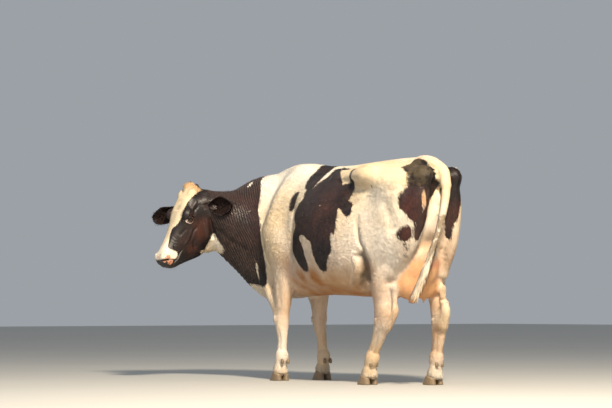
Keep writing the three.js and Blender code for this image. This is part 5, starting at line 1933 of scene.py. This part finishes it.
def short_tufts(region, where, count, length, width, stand):
    roots = scatter(where * (1.02 - hairless), count)
    point, normal = roots.pop("point"), roots.pop("normal")
    if region == "coat_ears":
        way = np.where((head_terms(point)[:, 1] > 0)[:, None], ears[0]["axis"], ears[1]["axis"])
        way = tangent(way, normal)
    else:
        way = lie_of_hair(point, normal)
    sideways = np.cross(normal, way)
    way = way + sideways * rng.normal(0, 0.13, count)[:, None]
    low_down = ramp(point[:, 2], 130, 90)
    size = length * rng.uniform(0.7, 1.25, count)
    if region == "coat_head":
        along, left, out = head_terms(point).T
        size *= 0.75 + 0.9 * ramp(along, 130, 20) + 0.5 * ramp(out, -220, -290)
        size *= 1 - 0.45 * ramp(along, 430, 560)
    elif region.startswith("coat_trunk"):
        size *= 1 + 0.35 * ramp(normal[:, 2], -0.5, -0.9)
    thick = width * rng.uniform(0.75, 1.2, count)
    off = size * (stand + 0.35 * low_down) * rng.uniform(0.4, 1.5, count)
    a = point - sideways * (thick / 2)[:, None] - normal * ROOT_SUNK
    b = point + sideways * (thick / 2)[:, None] - normal * ROOT_SUNK
    c = point + way * (size * 0.35)[:, None] + normal * (0.55 * off + ROOT_SUNK)[:, None]
    rings = np.stack([a, b, c], 1)[:, None]
    tips = point + way * size[:, None] + normal * off[:, None]
    roots["dark"] = roots["dark"] + rng.normal(0, DARK_JITTER, count)
    roots["shade"] = rng.normal(0, 1, count)
    if region == "coat_ears":
        roots["straw"] *= rng.uniform(0.35, 0.9, count)
        size *= 1 + 1.2 * roots["inner_ear"]
    keep = {word: values for word, values in roots.items() if word in TUFT_MARKS}
    return tuft_mesh(region, rings, tips, unwrap(region, point), keep, normal, sideways, short_hair)


total = 0
for region, (where, count, length, width, stand) in REGIONS.items():
    made = short_tufts(region, where, count, length, width, stand)
    total += made
    print(region, "triangles:", made)

# %% [markdown]
# Where hair is long it is made lock by lock: each lock is a bent spindle of three rings and a
# point. It grows on the poll, inside the ears, on the switch of the tail and over the coronets,
# and as lashes and feelers.

# %% Locks of long hair
LOCK_RINGS = ((0.0, 1.0), (0.35, 0.9), (0.72, 0.55))  # how far along, how thick


def locks(name, region, roots, way, length, width, stand, droop=0.0, curl=0.0):
    """`stand` is how far the tips rise off the skin, as a share of the length."""
    point, normal = roots.pop("point"), roots.pop("normal")
    count = len(point)
    sideways = np.cross(normal, way)
    bend = curl * rng.normal(0, 1, count)

    def centre(t):
        rise = normal * (stand * length * t**1.2)[:, None] - UP * (droop * length * t * t)[:, None]
        return point + way * (length * t)[:, None] + rise + sideways * (bend * length * t * t)[:, None]

    rings = []
    for t, share in LOCK_RINGS:
        middle, half = centre(t) - normal * ROOT_SUNK, sideways * (width * share / 2)[:, None]
        ridge = middle + normal * (width * share * 0.6)[:, None]
        rings.append(np.stack([middle - half, middle + half, ridge], 1))
    roots["shade"] = rng.normal(0, 1, count)
    keep = {word: values for word, values in roots.items() if word in TUFT_MARKS}
    places = unwrap(region, point)
    return tuft_mesh(name, np.stack(rings, 1), centre(1.0), places, keep, normal, sideways, long_hair)


def along_lie(roots, spread):
    way = lie_of_hair(roots["point"], roots["normal"])
    sideways = np.cross(roots["normal"], way)
    return tangent(way + sideways * rng.normal(0, spread, len(way))[:, None], roots["normal"])


# %% Poll, ears and the switch of the tail
POLL_LOCKS, EAR_LOCKS, SWITCH_LOCKS, FRINGE_LOCKS, LASHES, FEELERS = 1500, 3000, 3200, 2600, 90, 70
SWITCH_END = 518  # mm above the ground
along = head_terms(middles)[:, 0]

roots = scatter(head_here * ramp(along, 64, 14), POLL_LOCKS)
size = rng.uniform(12, 25, POLL_LOCKS)
total += locks(
    "coat_poll", "coat_head", roots, along_lie(roots, 0.5), size, size * 0.1,
    rng.uniform(0.1, 0.4, POLL_LOCKS), curl=0.2,
)

roots = scatter(of_ear * (triangle_marks["inner_ear"] > 0.3) * 1.0, EAR_LOCKS)
on_left = head_terms(roots["point"])[:, 1] > 0
way = np.where(on_left[:, None], ears[0]["axis"], ears[1]["axis"])
way = tangent(way + rng.normal(0, 0.3, way.shape), roots["normal"])
roots["straw"] *= rng.uniform(0.5, 1.0, EAR_LOCKS)
roots["inner_ear"] *= rng.uniform(0.3, 1.0, EAR_LOCKS)
total += locks(
    "coat_ear_locks", "coat_ears", roots, way, rng.uniform(18, 38, EAR_LOCKS),
    np.full(EAR_LOCKS, 1.8), rng.uniform(0.15, 0.5, EAR_LOCKS),
)

roots = scatter(tail_here * ramp(u, 960, 760), SWITCH_LOCKS)
to_end = (roots["point"][:, 2] - SWITCH_END) / 0.94
size = np.maximum(np.minimum(rng.uniform(50, 150, SWITCH_LOCKS), to_end), 12)
total += locks(
    "coat_switch", "coat_tail", roots, along_lie(roots, 0.08), size, 2.0 + size * 0.02,
    rng.uniform(0.0, 0.1, SWITCH_LOCKS), curl=0.03,
)

# %% Coronets, lashes and feelers
coronet_here = legs_here & (u < 98)
roots = scatter(coronet_here * 1.0, FRINGE_LOCKS)
size = rng.uniform(14, 26, FRINGE_LOCKS)
total += locks(
    "coat_fringe", "coat_forelegs", roots, along_lie(roots, 0.2), size, size * 0.11,
    rng.uniform(0.1, 0.3, FRINGE_LOCKS),
)

roots = scatter(triangle_marks["lash"] * head_here, LASHES)
on_left = head_terms(roots["point"])[:, 1] > 0
out_of_eye = np.where(on_left[:, None], eye_frame(1)[2], eye_frame(-1)[2])
way = out_of_eye * 0.8 - UP * 0.35 + NOSE * rng.normal(0.1, 0.25, LASHES)[:, None]
roots["dark"] = np.full(LASHES, float(EDGE))
total += locks(
    "coat_lashes", "coat_head", roots, way, rng.uniform(13, 22, LASHES),
    np.full(LASHES, 1.3), np.zeros(LASHES), droop=0.25,
)

roots = scatter(head_here * ramp(along, 510, 560) * (middle_normals[:, 2] < 0.3), FEELERS)
way = roots["normal"] + 0.5 * NOSE + rng.normal(0, 0.2, (FEELERS, 3))
total += locks(
    "coat_feelers", "coat_head", roots, way, rng.uniform(12, 22, FEELERS),
    np.full(FEELERS, 0.7), np.zeros(FEELERS), droop=0.3,
)
print("coat:", total, "triangles,", clock())

# %% [markdown]
# ## Floor, light and camera
#
# She stands on a plain pale floor in late sun: one small warm lamp, high and behind the camera a
# little to its right, casts a shadow with a clear edge. A broad faint lamp from the left and a
# pale room all round lift the shade. The camera is a long lens held low, at knee height.

# %% Floor
# Painted concrete: dry, matt, and never quite one tone.
floor_material, tree, surface = new_material("pale matt floor", {"Roughness": 0.9})
place = add(tree, "TexCoord", take="Object")
cloudy = add(tree, "TexNoise", {"Vector": place, "Scale": NOISE_MM / 900, "Detail": 3})
tone = add(tree, "Mix", {0: cloudy, 6: linear("#b9b7b1"), 7: linear("#c1bfba")}, **MIX)
tree.links.new(tone, surface.inputs["Base Color"])
FLOOR_HALF = 40
floor_mesh = bpy.data.meshes.new("floor")
floor_mesh.from_pydata([
    (x * FLOOR_HALF, y * FLOOR_HALF, 0) for x, y in ((-1, -1), (1, -1), (1, 1), (-1, 1))
], [], [(0, 1, 2, 3)])
floor_mesh.materials.append(floor_material)
floor = put_in_scene("floor", floor_mesh)
floor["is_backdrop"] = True
print("floor:", 2 * FLOOR_HALF, "m wide")

# %% Camera
VIEW_AZIMUTH, VIEW_PITCH, LENS = 52, 3.36, 107.3  # degrees, degrees and mm
VIEW_DISTANCE, VIEW_ASIDE, VIEW_HEIGHT = 12.0, -0.36, 0.47
turn = math.radians(VIEW_AZIMUTH)
to_right = np.array([math.cos(turn), math.sin(turn), 0])
ahead = np.array([-math.sin(turn), math.cos(turn), 0])
camera_data = bpy.data.cameras.new("camera")
camera_data.lens = LENS
camera_data.clip_end = 200
camera = put_in_scene("camera", camera_data)
camera.location = ORIGIN + to_right * VIEW_ASIDE - ahead * VIEW_DISTANCE + (0, 0, VIEW_HEIGHT)
camera.rotation_euler = (math.radians(90 + VIEW_PITCH), 0, turn)
bpy.context.scene.camera = camera
print("camera at", np.round(camera.location, 3))


# %% Light
def lamp(name, place, aim, size, power, colour="#ffffff"):
    data = bpy.data.lights.new(name, "AREA")
    data.shape = "DISK"
    data.size, data.energy, data.color = size, power, linear(colour)[:3]
    piece = put_in_scene(name, data)
    piece.location = place
    away = np.array(aim) - np.array(place)
    piece.rotation_euler = (
        math.atan2(math.hypot(away[0], away[1]), -away[2]), 0, math.atan2(-away[0], away[1]),
    )


middle = ORIGIN + (0, 0, 0.9)
key_place = middle + to_right * 1.0 - ahead * 5.9 + (0, 0, 5.0)
fill_place = middle - to_right * 5.0 - ahead * 5.0 + (0, 0, 2.0)
bpy.context.scene.view_settings.view_transform = "Standard"
lamp("key", key_place, middle, 1.1, 1150, "#fff0d8")
lamp("fill", fill_place, middle, 5.0, 60, "#e4eeff")
world = bpy.data.worlds.new("pale room")
world.use_nodes = True
background = world.node_tree.nodes["Background"]
background.inputs["Color"].default_value = linear("#dfe6ee")
background.inputs["Strength"].default_value = 0.45
bpy.context.scene.world = world

# %% Size, and the end
visual_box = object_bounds()
print("visual box", np.round(visual_box, 3).tolist(), clock())
